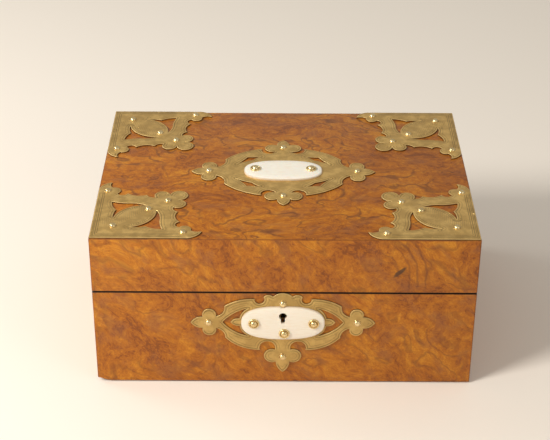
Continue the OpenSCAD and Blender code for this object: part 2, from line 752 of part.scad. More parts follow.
module plaque_studs_lid() {
    up = mount_t + plaque_t;
    color(brass) on_lid(up) for (p = lid_plaque_stud_points) translate(p) stud(big_stud_d, up);
}

base_front();
base_back();
base_left();
base_right();
base_bottom();
base_veneer();
base_baize();
floor_lining();
wall_lining();
rest_front();
rest_back();
rest_left();
rest_right();
escutcheon();
escutcheon_plaque();
escutcheon_studs();
plaque_studs_front();
lock_case();
lock_cap();
lock_key_pin();
lock_spring();
lock_screws();
lock_bolt();
hinge_base_leaves();
hinge_lid_leaves();
hinge_pins();
hinge_screws_base();
hinge_screws_lid();
tray_bottom();
tray_long_sides();
tray_end_sides();
tray_dividers();
tray_lining();
ring_rolls();
tray_knobs();
lid_front();
lid_back();
lid_left();
lid_right();
lid_top();
lid_veneer();
lid_lining();
lid_pad();
mirror_back();
mirror_glass();
mirror_frame();
link_plate();
link_screws();
mount_front_left();
mount_front_right();
mount_back_left();
mount_back_right();
mount_studs();
cartouche();
cartouche_studs();
lid_plaque();
plaque_studs_lid();
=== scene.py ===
# %% [markdown]
# # An antique dressing box
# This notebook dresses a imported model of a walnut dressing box. The model holds every board, mount and screw at its
# real place. The cells below give them their looks: burr walnut, aged brass, bone, velvet, silk and old glass.
# Everything is in metres, with +Z up and the front of the box towards -Y.

# %% Load the fixed frame
import json
import math
import bmesh
import bpy
from mathutils import Matrix, Vector

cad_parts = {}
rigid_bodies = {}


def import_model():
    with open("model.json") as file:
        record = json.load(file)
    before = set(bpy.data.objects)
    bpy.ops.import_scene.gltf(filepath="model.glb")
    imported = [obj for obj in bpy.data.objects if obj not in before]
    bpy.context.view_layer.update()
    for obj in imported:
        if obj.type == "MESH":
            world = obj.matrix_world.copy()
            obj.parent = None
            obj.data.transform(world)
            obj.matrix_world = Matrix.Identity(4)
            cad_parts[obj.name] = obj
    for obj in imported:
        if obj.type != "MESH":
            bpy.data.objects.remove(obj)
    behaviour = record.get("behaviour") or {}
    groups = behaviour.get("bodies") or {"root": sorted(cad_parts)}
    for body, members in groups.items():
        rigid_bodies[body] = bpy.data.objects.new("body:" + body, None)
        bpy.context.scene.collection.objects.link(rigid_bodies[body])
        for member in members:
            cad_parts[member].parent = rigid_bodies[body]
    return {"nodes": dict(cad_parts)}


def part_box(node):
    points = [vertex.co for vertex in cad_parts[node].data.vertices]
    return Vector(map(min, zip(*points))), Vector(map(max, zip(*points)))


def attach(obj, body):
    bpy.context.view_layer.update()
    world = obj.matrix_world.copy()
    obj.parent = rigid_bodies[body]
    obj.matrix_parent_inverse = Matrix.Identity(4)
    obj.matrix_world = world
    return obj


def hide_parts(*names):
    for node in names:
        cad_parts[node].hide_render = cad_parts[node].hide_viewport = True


for thing in list(bpy.data.objects):
    bpy.data.objects.remove(thing)
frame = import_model()
scene = bpy.context.scene
MM = 0.001
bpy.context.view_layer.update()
case_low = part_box("base_veneer")[0]
case_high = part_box("lid_veneer")[1]
case_w = case_high.x - case_low.x
case_d = case_high.y - case_low.y
case_top = case_high.z
rim_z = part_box("base_veneer")[1].z
print("case", round(case_w, 4), round(case_d, 4), round(case_top, 4), "rim at", round(rim_z, 4))

# %% [markdown]
# ## Camera
# A camera can be placed by eye, or worked out from the photograph's own perspective. The box's eight visible corners
# fix where the lens stood, how it was tilted and how long it was, so those few numbers are written here as a
# position, a tilt, a small roll and a focal length.

# %% Camera
camera_at = Vector((-7.75, -972.46, 658.79)) * MM
camera_pitch = math.radians(30.656)
camera_roll = math.radians(0.318)
camera_yaw = math.radians(0.035)
focal_pixels = 1437.7
image_width = 550

look = Vector((
    math.sin(camera_yaw) * math.cos(camera_pitch),
    math.cos(camera_yaw) * math.cos(camera_pitch),
    -math.sin(camera_pitch),
))
level_right = Vector((math.cos(camera_yaw), -math.sin(camera_yaw), 0))
level_up = level_right.cross(look)
right = level_right * math.cos(camera_roll) + level_up * math.sin(camera_roll)
up = level_up * math.cos(camera_roll) - level_right * math.sin(camera_roll)
camera_data = bpy.data.cameras.new("camera")
camera_data.sensor_width = 36
camera_data.lens = focal_pixels / image_width * camera_data.sensor_width
camera = bpy.data.objects.new("camera", camera_data)
turn = Matrix((right, up, -look)).transposed().to_4x4()
camera.matrix_world = Matrix.Translation(camera_at) @ turn
scene.collection.objects.link(camera)
scene.camera = camera
scene.view_settings.view_transform = "Standard"
print("lens", round(camera_data.lens, 2), "mm")

# %% [markdown]
# ## Floor and light
# The photograph was taken on pale paper and is lit from the left. A sweep of paper could be modelled as a bent sheet,
# but here a plain floor is enough, because the camera looks down on it. The lamps are wide area lights, so that
# shadows are soft: the key gives the light its direction, a weak fill keeps the right side from going black, and a
# lamp behind on the left lifts the paper and the lid's top without touching the front.

# %% Helpers that add nodes
def new_material(name):
    """An empty material. One that came with the frame is taken over, so the CAD nodes that wear it follow."""
    material = bpy.data.materials.get(name) or bpy.data.materials.new(name)
    material.use_nodes = True
    material.node_tree.nodes.clear()
    return material


def add(tree, kind, inputs=None, **settings):
    """Adds a node, sets its fields, and links or fills its inputs."""
    node = tree.nodes.new(kind)
    for key, value in settings.items():
        setattr(node, key, value)
    for key, value in (inputs or {}).items():
        if isinstance(value, bpy.types.NodeSocket):
            tree.links.new(value, node.inputs[key])
        else:
            node.inputs[key].default_value = value
    return node


print("node helper ready")

# %% Helpers for sums on values and vectors
def maths(tree, operation, a, b=0.0):
    return add(tree, "ShaderNodeMath", operation=operation, inputs={0: a, 1: b}).outputs[0]


def times(tree, first, *others):
    for other in others:
        first = maths(tree, "MULTIPLY", first, other)
    return first


def plus(tree, first, *others):
    for other in others:
        first = maths(tree, "ADD", first, other)
    return first


def minus(tree, a, b):
    return maths(tree, "SUBTRACT", a, b)


def larger(tree, first, *others):
    for other in others:
        first = maths(tree, "MAXIMUM", first, other)
    return first


def smaller(tree, first, *others):
    for other in others:
        first = maths(tree, "MINIMUM", first, other)
    return first


def gap(tree, a, b):
    """How far one value lies from another, either way."""
    return maths(tree, "ABSOLUTE", minus(tree, a, b))


def vector_maths(tree, operation, a, b=(0, 0, 0), scale=None):
    inputs = {0: a, 1: b}
    if scale is not None:
        inputs["Scale"] = scale
    return add(tree, "ShaderNodeVectorMath", operation=operation, inputs=inputs).outputs[0]


def axes(tree, vector):
    """The three parts of a vector."""
    parts = add(tree, "ShaderNodeSeparateXYZ", inputs={0: vector}).outputs
    return parts["X"], parts["Y"], parts["Z"]


print("sums ready")

# %% Helpers for patterns and colours
def place_in_mm(tree):
    """Object coordinates in millimetres, so that pattern sizes read as real sizes."""
    coordinates = add(tree, "ShaderNodeTexCoord")
    return vector_maths(tree, "SCALE", coordinates.outputs["Object"], scale=1 / MM)


def noise(tree, vector, scale, detail=2.0, roughness=0.5, colour=False):
    """Cloudy noise. scale is in clouds per millimetre."""
    node = add(tree, "ShaderNodeTexNoise", inputs={
        "Vector": vector, "Scale": scale, "Detail": detail, "Roughness": roughness})
    return node.outputs["Color" if colour else "Fac"]


def band(tree, value, low, high, to_low=0.0, to_high=1.0):
    """Maps low to high onto to_low to to_high with a soft start and end."""
    node = add(tree, "ShaderNodeMapRange", interpolation_type="SMOOTHSTEP", inputs={
        "Value": value, "From Min": low, "From Max": high, "To Min": to_low, "To Max": to_high})
    return node.outputs["Result"]


def opaque(colour):
    """A plain colour with full alpha. A socket stays as it is."""
    return (*colour, 1) if isinstance(colour, tuple) else colour


def mix(tree, factor, a, b):
    """Colour a where the factor is 0, colour b where it is 1."""
    node = add(tree, "ShaderNodeMix", data_type="RGBA", inputs={0: factor, 6: opaque(a), 7: opaque(b)})
    return node.outputs[2]


def ramp(tree, value, stops):
    node = add(tree, "ShaderNodeValToRGB", inputs={"Fac": value})
    points = node.color_ramp.elements
    while len(points) < len(stops):
        points.new(0.5)
    for point, (position, colour) in zip(points, stops):
        point.position = position
        point.color = opaque(colour)
    return node.outputs["Color"]


def surface(tree, colour, finish, bump=None, bump_depth=0.1 * MM):
    """The Principled shader with its output, and a bump of real depth."""
    shader = add(tree, "ShaderNodeBsdfPrincipled", inputs={"Base Color": opaque(colour), **finish})
    if bump is not None:
        relief = add(tree, "ShaderNodeBump", inputs={"Height": bump, "Distance": bump_depth, "Strength": 1.0})
        tree.links.new(relief.outputs["Normal"], shader.inputs["Normal"])
    add(tree, "ShaderNodeOutputMaterial", inputs={"Surface": shader.outputs[0]})


print("patterns and colours ready")

# %% Floor
FLOOR_HALF = 6
PAPER = (0.95, 0.89, 0.81)

floor_mesh = bmesh.new()
bmesh.ops.create_grid(floor_mesh, x_segments=1, y_segments=1, size=FLOOR_HALF)
floor_data = bpy.data.meshes.new("floor")
floor_mesh.to_mesh(floor_data)
floor_mesh.free()
floor = bpy.data.objects.new("floor", floor_data)
scene.collection.objects.link(floor)
floor_paint = new_material("pale_paper")
surface(floor_paint.node_tree, PAPER, {"Roughness": 0.9, "Specular IOR Level": 0.1})
floor_data.materials.append(floor_paint)
print("floor", 2 * FLOOR_HALF, "m wide")

# %% World
ROOM_LIGHT, ROOM_STRENGTH = (1.0, 0.95, 0.87), 0.42
BACKDROP = (0.86, 0.82, 0.76)

world = bpy.data.worlds.new("studio")
world.use_nodes = True
scene.world = world
tree = world.node_tree
tree.nodes.clear()
path = add(tree, "ShaderNodeLightPath")
seen = larger(tree, path.outputs["Is Camera Ray"], path.outputs["Is Transmission Ray"])
room = add(tree, "ShaderNodeBackground", inputs={"Color": opaque(ROOM_LIGHT), "Strength": ROOM_STRENGTH})
backdrop = add(tree, "ShaderNodeBackground", inputs={"Color": opaque(BACKDROP), "Strength": 1.0})
either = add(tree, "ShaderNodeMixShader", inputs={0: seen, 1: room.outputs[0], 2: backdrop.outputs[0]})
add(tree, "ShaderNodeOutputWorld", inputs={"Surface": either.outputs[0]})
print("world light", ROOM_STRENGTH)

# %% Lamps
def area_lamp(name, at, towards, size, power, colour):
    """A round lamp at a place in metres, turned towards another place."""
    data = bpy.data.lights.new(name, "AREA")
    data.shape = "DISK"
    data.size = size
    data.energy = power
    data.color = colour
    lamp = bpy.data.objects.new(name, data)
    turn = (Vector(towards) - Vector(at)).to_track_quat("-Z", "Y").to_matrix().to_4x4()
    lamp.matrix_world = Matrix.Translation(Vector(at)) @ turn
    scene.collection.objects.link(lamp)
    print(name, "lamp of", power, "W")


area_lamp("key", at=(-1.05, -0.72, 1.05), towards=(-0.05, 0, 0.05), size=0.5, power=21, colour=(1.0, 0.955, 0.89))
area_lamp("fill", at=(1.3, -1.2, 0.9), towards=(0, 0, 0.05), size=0.9, power=3.5, colour=(1.0, 0.96, 0.92))
area_lamp("window", at=(-1.1, 0.4, 0.8), towards=(-0.4, 0.05, 0), size=0.5, power=3.0, colour=(1.0, 0.98, 0.95))

# %% [markdown]
# ## Burr walnut
# Burr is wood with its grain in knots: cloudy patches, swirling contour lines, small eyes and fine dark pores. An
# image texture is the usual way, but a procedural one has no seams and can be kept small. Noise bends the
# coordinates first, so everything drawn after it swirls together. Contour lines are the level lines of a slow noise.
# The figure is a node group, because the lid's top and the sides wear it at different sizes.

# %% Shader groups
SOCKETS = {"vector": "NodeSocketVector", "value": "NodeSocketFloat"}


def group_of(name, inputs, outputs):
    """A shader node group. inputs maps each name to vector or value, and each of outputs is a value."""
    tree = bpy.data.node_groups.new(name, "ShaderNodeTree")
    for label, kind in inputs.items():
        tree.interface.new_socket(label, in_out="INPUT", socket_type=SOCKETS[kind])
    for label in outputs:
        tree.interface.new_socket(label, in_out="OUTPUT", socket_type=SOCKETS["value"])
    start = tree.nodes.new("NodeGroupInput")
    end = tree.nodes.new("NodeGroupOutput")
    return tree, start.outputs, end.inputs


burr_group, given, result = group_of(
    "burr figure",
    {"Place": "vector", "Swirl": "value", "Line Count": "value"},
    ["Clouds", "Shade", "Lines", "Eyes", "Pores"])
print("burr group opened")

# %% Burr figure: swirled coordinates
SWIRLS_PER_MM, CURLS_PER_MM = 0.013, 0.06
CURL_MM = 15.0


def pushed(tree, place, by, reach):
    """Moves a place by a noise colour, by up to half of reach each way."""
    push = vector_maths(tree, "SUBTRACT", by, (0.5, 0.5, 0.5))
    push = vector_maths(tree, "SCALE", push, scale=reach)
    return vector_maths(tree, "ADD", place, push)


tree = burr_group
swirls = noise(tree, given["Place"], SWIRLS_PER_MM, 2.0, 0.5, colour=True)
bent = pushed(tree, given["Place"], swirls, given["Swirl"])
curls = noise(tree, bent, CURLS_PER_MM, 3.0, 0.55, colour=True)
curled = pushed(tree, bent, curls, CURL_MM)
print("swirls", round(1 / SWIRLS_PER_MM), "mm and curls", round(1 / CURLS_PER_MM), "mm across")

# %% Burr figure: clouds, shade and contour lines
CLOUDS, MOTTLES, FLECKS = (0.03, 4.0, 0.55), (0.2, 2.0, 0.5), (0.7, 3.0, 0.6)
SHARES = (0.42, 0.28, 0.30)
LINE_WIDTH = 0.2

layers = [times(tree, noise(tree, curled, *layer), share) for layer, share in zip((CLOUDS, MOTTLES, FLECKS), SHARES)]
tree.links.new(plus(tree, *layers), result["Clouds"])
tree.links.new(band(tree, noise(tree, bent, 0.055, 4.0, 0.62), 0.48, 0.68), result["Shade"])
level = noise(tree, curled, 0.02, 2.5, 0.5)
wave = maths(tree, "FRACT", times(tree, level, given["Line Count"]))
thin = band(tree, gap(tree, wave, 0.5), LINE_WIDTH, 0.0)
patchy = band(tree, noise(tree, bent, 0.03, 2.0), 0.4, 0.58)
tree.links.new(times(tree, thin, patchy), result["Lines"])
print("clouds in", len(layers), "layers")

# %% Burr figure: eyes and pores
EYES_PER_MM = 0.05
EYE_RINGS = 48.0
EYE_UNEVEN = 0.2
EYES_LEFT_OUT = 0.5

cells = add(tree, "ShaderNodeTexVoronoi", inputs={"Vector": bent, "Scale": EYES_PER_MM, "Randomness": 1.0})
uneven = times(tree, minus(tree, noise(tree, given["Place"], 0.12, 2.0), 0.5), EYE_UNEVEN)
spread = plus(tree, cells.outputs["Distance"], uneven)
ring = band(tree, maths(tree, "SINE", times(tree, spread, EYE_RINGS)), -0.2, 0.9)
close = band(tree, cells.outputs["Distance"], 0.4, 0.08)
draw = add(tree, "ShaderNodeSeparateColor", inputs={0: cells.outputs["Color"]}).outputs[0]
chosen = band(tree, draw, EYES_LEFT_OUT, EYES_LEFT_OUT + 0.1)
tree.links.new(times(tree, ring, close, chosen), result["Eyes"])
pore_place = vector_maths(tree, "MULTIPLY", curled, (0.55, 1.3, 1.3))
tree.links.new(band(tree, noise(tree, pore_place, 0.9, 3.0, 0.6), 0.56, 0.7), result["Pores"])
print("burr group has", len(burr_group.nodes), "nodes")

# %% Burr walnut: the two figures
TOP_STRETCH, TOP_SWIRL, TOP_LINES = (0.8, 1.15, 1.15), 52.0, 13.0
SIDE_STRETCH, SIDE_SWIRL, SIDE_LINES = (1.12, 0.9, 0.78), 44.0, 9.0
SIDE_SLANT = math.radians(38)
TOP_MM = case_top / MM

walnut = new_material("burr_walnut")
tree = walnut.node_tree
place = place_in_mm(tree)
x, y, z = axes(tree, place)
on_top = band(tree, z, TOP_MM - 0.9, TOP_MM - 0.3)
on_front = times(tree, band(tree, y, -95.0, -100.0), minus(tree, 1.0, on_top))
slanted = add(tree, "ShaderNodeVectorRotate", rotation_type="Y_AXIS", inputs={"Vector": place, "Angle": SIDE_SLANT})


def burr_figure(where, stretch, swirl, lines):
    return add(tree, "ShaderNodeGroup", node_tree=burr_group, inputs={
        "Place": vector_maths(tree, "MULTIPLY", where, stretch), "Swirl": swirl, "Line Count": lines}).outputs


top_figure = burr_figure(place, TOP_STRETCH, TOP_SWIRL, TOP_LINES)
side_figure = burr_figure(slanted.outputs[0], SIDE_STRETCH, SIDE_SWIRL, SIDE_LINES)


def figured(label):
    """One output of the figure, the lid's on top and the sides' elsewhere."""
    return add(tree, "ShaderNodeMix", data_type="FLOAT", inputs={
        0: on_top, 2: side_figure[label], 3: top_figure[label]}).outputs[0]


print("top and side figures placed")

# %% Burr walnut: colour of the figure
WOOD = [
    (0.39, (0.220, 0.063, 0.011)),
    (0.45, (0.350, 0.105, 0.011)),
    (0.53, (0.460, 0.155, 0.012)),
    (0.62, (0.570, 0.225, 0.018)),
]
PURPLE, PURPLE_SHARE = (0.225, 0.088, 0.042), 0.42
LINE_COLOUR, LINE_SHARE, LINE_SHARE_ON_TOP = (0.120, 0.040, 0.016), 0.40, 0.26
EYE_COLOUR, EYE_SHARE = (0.100, 0.032, 0.014), 0.6
PORE_COLOUR, PORE_SHARE = (0.090, 0.030, 0.012), 0.28

pores = figured("Pores")
wood = ramp(tree, figured("Clouds"), WOOD)
wood = mix(tree, times(tree, figured("Shade"), PURPLE_SHARE), wood, PURPLE)
line_share = plus(tree, LINE_SHARE, times(tree, on_top, LINE_SHARE_ON_TOP))
wood = mix(tree, times(tree, figured("Lines"), line_share), wood, LINE_COLOUR)
wood = mix(tree, times(tree, top_figure["Eyes"], on_top, EYE_SHARE), wood, EYE_COLOUR)
wood = mix(tree, times(tree, pores, PORE_SHARE), wood, PORE_COLOUR)
print("figure coloured from", len(WOOD), "browns")

# %% Burr walnut: the knot on the lid's front
KNOT_X, KNOT_Z = 83.0, 99.0
KNOT_LEAN = (0.68, 0.73)
KNOT_HALF_LENGTH, KNOT_HALF_WIDTH = 6.5, 1.9
KNOT_COLOUR, KNOT_SHARE = (0.055, 0.030, 0.018), 0.8
WANDER_MM = 9.0

wander = times(tree, minus(tree, noise(tree, place, 0.09, 3.0), 0.5), WANDER_MM)
knot_x = minus(tree, x, KNOT_X)
knot_z = minus(tree, z, KNOT_Z)
lean_x, lean_z = KNOT_LEAN
lengthways = plus(tree, times(tree, knot_x, lean_x), times(tree, knot_z, lean_z))
sideways = minus(tree, times(tree, knot_x, lean_z), times(tree, knot_z, lean_x))
sideways = plus(tree, sideways, times(tree, wander, 0.35))
away = plus(tree, maths(tree, "POWER", maths(tree, "DIVIDE", lengthways, KNOT_HALF_LENGTH), 2.0),
            maths(tree, "POWER", maths(tree, "DIVIDE", sideways, KNOT_HALF_WIDTH), 2.0))
knot = times(tree, band(tree, away, 1.3, 0.35), on_front)
wood = mix(tree, times(tree, knot, KNOT_SHARE), wood, KNOT_COLOUR)
print("knot at", KNOT_X, KNOT_Z)

# %% Burr walnut: growth rings beside the knot
RINGS_X, RINGS_Z = KNOT_X - 30.0, KNOT_Z - 6.0
RINGS_FROM, RINGS_TO = 34.0, 56.0
RIPPLE_PER_MM = 1.05
RING_COLOUR, RING_SHARE = (0.16, 0.052, 0.018), 0.5
SEAM_Z = (rim_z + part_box("lid_veneer")[0].z) / 2 / MM

ring_x = minus(tree, x, RINGS_X)
ring_z = minus(tree, z, RINGS_Z)
radius = maths(tree, "SQRT", plus(tree, maths(tree, "POWER", ring_x, 2.0), maths(tree, "POWER", ring_z, 2.0)))
radius = plus(tree, radius, times(tree, wander, 0.6))
ripple = maths(tree, "SINE", times(tree, radius, RIPPLE_PER_MM))
where = times(tree, band(tree, radius, RINGS_FROM, RINGS_FROM + 5), band(tree, radius, RINGS_TO, RINGS_TO - 6),
              band(tree, ring_x, 20.0, 30.0), on_front, band(tree, z, SEAM_Z + 1.0, SEAM_Z + 8.0))
wood = mix(tree, times(tree, band(tree, ripple, 0.45, 0.95), where, RING_SHARE), wood, RING_COLOUR)
print("rings from", RINGS_FROM, "to", RINGS_TO, "mm round", RINGS_X, RINGS_Z)

# %% Burr walnut: worn edges, painted shade at the seam and the polish
EDGE_COLOUR, EDGE_SHARE = (0.13, 0.045, 0.018), 0.5
SEAM_SHADE_COLOUR, SEAM_SHADE_TO = (0.012, 0.007, 0.004), 1.15
PORE_DEPTH = 0.04 * MM

from_x = minus(tree, case_w / 2 / MM, maths(tree, "ABSOLUTE", x))
from_y = minus(tree, case_d / 2 / MM, maths(tree, "ABSOLUTE", y))
from_top = minus(tree, TOP_MM, z)
from_edge = smaller(tree, larger(tree, from_x, from_y), larger(tree, from_x, from_top),
                    larger(tree, from_y, from_top))
wood = mix(tree, times(tree, band(tree, from_edge, 1.0, 0.3), EDGE_SHARE), wood, EDGE_COLOUR)
# Painted shade: the wood beside the seam between lid and base is darkened to near black.
wood = mix(tree, band(tree, gap(tree, z, SEAM_Z), SEAM_SHADE_TO, 0.5), wood, SEAM_SHADE_COLOUR)
surface(tree, wood, {"Roughness": 0.36, "Specular IOR Level": 0.22, "Coat Weight": 0.12, "Coat Roughness": 0.2},
        bump=pores, bump_depth=-PORE_DEPTH)
print("burr walnut has", len(tree.nodes), "nodes")

# %% [markdown]
# ## Brass and bone materials
# Old brass is dull and greenish where nobody rubs it and bright on its edges and studs. One figure group makes the
# patina. The plates carry values from their own making, such as the distance to the nearest edge and the length
# along it, so the engraved lines and the beading follow every scallop without any image.

# %% Patina group
patina_group, given, result = group_of("patina", {"Place": "vector"}, ["Patches", "Scratches", "Grain"])
tree = patina_group
tree.links.new(noise(tree, given["Place"], 0.11, 4.0, 0.6), result["Patches"])
streaked = vector_maths(tree, "MULTIPLY", given["Place"], (1.0, 6.0, 3.0))
tree.links.new(band(tree, noise(tree, streaked, 0.35, 3.0, 0.6), 0.5, 0.72), result["Scratches"])
tree.links.new(noise(tree, given["Place"], 1.6, 3.0, 0.6), result["Grain"])
print("patina group has", len(patina_group.nodes), "nodes")

# %% What the engraver cut
GROOVE_AT = 1.3
SECOND_AT = 3.4
BEAD_AT, BEAD_PITCH = 2.6, 2.0
VEIN_PITCH = 1.9
BAND_LINES = (2.8, 4.3, 5.6)
LOBE_MM = 7.0
FRONT_MM = -100.0


def attribute(tree, name):
    """A value that the plate's own points carry."""
    return add(tree, "ShaderNodeAttribute", attribute_name=name, attribute_type="GEOMETRY").outputs["Fac"]


def waves(tree, value, pitch):
    return maths(tree, "SINE", times(tree, value, 2 * math.pi / pitch))


def engraving(tree):
    """Masks for the plain groove, the other lines, the beads round the leaf and the leaf's veins."""
    edge = attribute(tree, "edge_mm")
    off_lobes = band(tree, attribute(tree, "stud_mm"), LOBE_MM, LOBE_MM + 2.0)
    groove = times(tree, band(tree, gap(tree, edge, GROOVE_AT), 0.42, 0.12), off_lobes)
    second = times(tree, band(tree, gap(tree, edge, SECOND_AT), 0.3, 0.1), 0.6, off_lobes)
    strips = [band(tree, gap(tree, attribute(tree, "band_mm"), at), 0.34, 0.1) for at in BAND_LINES]
    lines = larger(tree, second, *strips)
    leaf = attribute(tree, "leaf")
    rim = band(tree, gap(tree, edge, BEAD_AT), 0.75, 0.4)
    beads = times(tree, rim, band(tree, waves(tree, attribute(tree, "along_mm"), BEAD_PITCH), -0.3, 0.5), leaf)
    inside_rim = band(tree, edge, 3.4, 4.0)
    veins = band(tree, waves(tree, attribute(tree, "vein_mm"), VEIN_PITCH), 0.2, 0.9)
    veins = times(tree, veins, leaf, inside_rim)
    return edge, groove, lines, beads, veins


print("engraving ready")

# %% Aged, polished and fitting brass
DIRT_COLOUR, DIRT_SHARE = (0.13, 0.08, 0.026), 0.6
RUBBED_COLOUR, RUBBED_SHARE = (0.90, 0.70, 0.34), 0.45
WALL_SHADE_COLOUR = (0.055, 0.032, 0.012)
FRONT_SHADE_COLOUR, FRONT_SHADE_SHARE = (0.24, 0.155, 0.05), 0.42
BRASS_RELIEF = 0.16 * MM


def brass(name, colour, dark, roughness, engraved=False):
    """Brass with patches from dark to its own colour. Engraved brass has dirt in its lines, a rubbed rim, painted
    shade down its walls and painted shade on the box's front.
    """
    tree = new_material(name).node_tree
    place = place_in_mm(tree)
    patina = add(tree, "ShaderNodeGroup", node_tree=patina_group, inputs={"Place": place}).outputs
    paint = mix(tree, band(tree, patina["Patches"], 0.38, 0.66), dark, colour)
    height = times(tree, patina["Grain"], 0.12)
    if engraved:
        edge, groove, lines, beads, veins = engraving(tree)
        dirt = larger(tree, groove, lines, times(tree, beads, 0.8), times(tree, veins, 0.3))
        paint = mix(tree, times(tree, dirt, DIRT_SHARE), paint, DIRT_COLOUR)
        paint = mix(tree, times(tree, band(tree, edge, 0.55, 0.12), RUBBED_SHARE), paint, RUBBED_COLOUR)
        # Painted shade: the plates' walls darken towards their foot on the wood.
        paint = mix(tree, band(tree, edge, -0.1, -0.6), paint, WALL_SHADE_COLOUR)
        for cut, depth in ((lines, 0.9), (beads, 0.9), (veins, 0.6)):
            height = minus(tree, height, times(tree, cut, depth))
        # Painted shade: the brass on the box's front face is darkened.
        on_front = band(tree, axes(tree, place)[1], FRONT_MM, FRONT_MM - 1)
        paint = mix(tree, times(tree, on_front, FRONT_SHADE_SHARE), paint, FRONT_SHADE_COLOUR)
    rough = band(tree, patina["Scratches"], 0.0, 1.0, roughness, roughness + 0.12)
    surface(tree, paint, {"Metallic": 0.72 if engraved else 0.95, "Roughness": rough},
            bump=height, bump_depth=BRASS_RELIEF)


brass("aged_brass", (0.84, 0.565, 0.195), (0.62, 0.40, 0.13), 0.4, engraved=True)
brass("polished_brass", (0.90, 0.74, 0.42), (0.76, 0.58, 0.28), 0.27)
brass("fitting_brass", (0.72, 0.52, 0.23), (0.52, 0.36, 0.14), 0.3)
print("three brasses ready")

# %% Bone
BONE, BONE_GRAIN = (0.93, 0.89, 0.80), (0.90, 0.83, 0.71)
SOIL_COLOUR, SOIL_SHARE = (0.45, 0.30, 0.16), 0.55
BONE_FRONT_SHADE, BONE_FRONT_SHADE_SHARE = (0.74, 0.60, 0.42), 0.3

tree = new_material("bone").node_tree
place = place_in_mm(tree)
long_grain = vector_maths(tree, "MULTIPLY", place, (0.35, 2.2, 2.2))
pale = mix(tree, band(tree, noise(tree, long_grain, 0.5, 3.0), 0.4, 0.7), BONE, BONE_GRAIN)
soiled = band(tree, attribute(tree, "edge_mm"), 1.1, 0.0)
pale = mix(tree, times(tree, soiled, SOIL_SHARE), pale, SOIL_COLOUR)
# Painted shade: the bone on the box's front face is darkened.
front_shade = band(tree, axes(tree, place)[1], FRONT_MM, FRONT_MM - 1)
pale = mix(tree, times(tree, front_shade, BONE_FRONT_SHADE_SHARE), pale, BONE_FRONT_SHADE)
surface(tree, pale, {
    "Roughness": 0.32, "Specular IOR Level": 0.5,
    "Subsurface Weight": 0.12, "Subsurface Scale": 2 * MM, "Subsurface Radius": (1.0, 0.6, 0.4)})
print("bone ready")

# %% [markdown]
# ## Pierced plates with a worked surface
# A plate could simply keep its CAD mesh, but its face would be flat and its edges sharp. A sculpted mesh could look
# right and lose the outline. Here the outline is read from the CAD node, the face is filled with a fine triangle
# mesh, and every point is then lowered or raised by its distance from the edge: a rounded lip, then a real groove.

# %% Reading a plate's outline
import numpy as np
from mathutils.geometry import delaunay_2d_cdt

CLOSE = 0.01 * MM
TINY = 1e-9


def merged(node):
    """A bmesh copy of a CAD node with its loose triangles joined."""
    bm = bmesh.new()
    bm.from_mesh(frame["nodes"][node].data)
    bmesh.ops.remove_doubles(bm, verts=bm.verts, dist=0.1 * CLOSE)
    return bm


def back_loops(bm, out):
    """Closed loops round the flat back of a plate whose face looks along out."""
    level = min(v.co.dot(out) for v in bm.verts)
    back = [f for f in bm.faces if all(abs(v.co.dot(out) - level) < CLOSE for v in f.verts)]
    inside = set(back)
    step = {}
    for face in back:
        for loop in face.loops:
            if not any(other in inside for other in loop.edge.link_faces if other is not face):
                step[loop.vert] = loop.link_loop_next.vert
    loops = []
    while step:
        start = next(iter(step))
        chain = [start]
        while step.get(chain[-1]) in step and step[chain[-1]] is not start:
            chain.append(step[chain[-1]])
        for vert in chain:
            step.pop(vert)
        loops.append([v.co.copy() for v in chain])
    return level, loops


sample = merged("mount_front_left")
print("mounts have", len(back_loops(sample, Vector((0, 0, 1)))[1]), "loops each")
sample.free()

# %% Distances inside an outline
def inside_loops(points, loops):
    """Even-odd test of many points against closed loops."""
    inside = np.zeros(len(points), bool)
    for loop in loops:
        a, b = loop, np.roll(loop, -1, axis=0)
        for (x0, y0), (x1, y1) in zip(a, b):
            if y0 == y1:
                continue
            crosses = (y0 > points[:, 1]) != (y1 > points[:, 1])
            at = x0 + (points[:, 1] - y0) * (x1 - x0) / (y1 - y0)
            inside ^= crosses & (points[:, 0] < at)
    return inside


def edge_distance(points, loops):
    """Distance to the nearest loop, and the length along that loop where it is nearest."""
    best = np.full(len(points), np.inf)
    along = np.zeros(len(points))
    for loop in loops:
        a, b = loop, np.roll(loop, -1, axis=0)
        lengths = np.linalg.norm(b - a, axis=1)
        starts = np.concatenate([[0], np.cumsum(lengths)[:-1]])
        for p, q, length, start in zip(a, b, lengths, starts):
            if length < TINY:
                continue
            t = np.clip(((points - p) @ (q - p)) / length**2, 0, 1)
            away = np.linalg.norm(points - p - t[:, None] * (q - p), axis=1)
            nearer = away < best
            best[nearer] = away[nearer]
            along[nearer] = start + t[nearer] * length
    return best, along


print("distances ready")

# %% Points that fill an outline
ROW_SHARE = 0.866
ROOM_SHARE = 0.93
NO_LENGTH = 1e-12


def left_of(lean):
    """Unit normals to the left of many directions."""
    normal = np.column_stack([-lean[:, 1], lean[:, 0]])
    return normal / (np.linalg.norm(normal, axis=1)[:, None] + NO_LENGTH)


def grid_points(flat, spacing, margin):
    """An even triangle grid inside the outline, no nearer to it than margin."""
    low = np.min([loop.min(0) for loop in flat], axis=0)
    high = np.max([loop.max(0) for loop in flat], axis=0)
    us, vs = np.meshgrid(np.arange(low[0], high[0], spacing), np.arange(low[1], high[1], spacing * ROW_SHARE))
    us[1::2] += spacing / 2
    grid = np.column_stack([us.ravel(), vs.ravel()])
    grid = grid[inside_loops(grid, flat)]
    far, _ = edge_distance(grid, flat)
    return grid[far > margin]


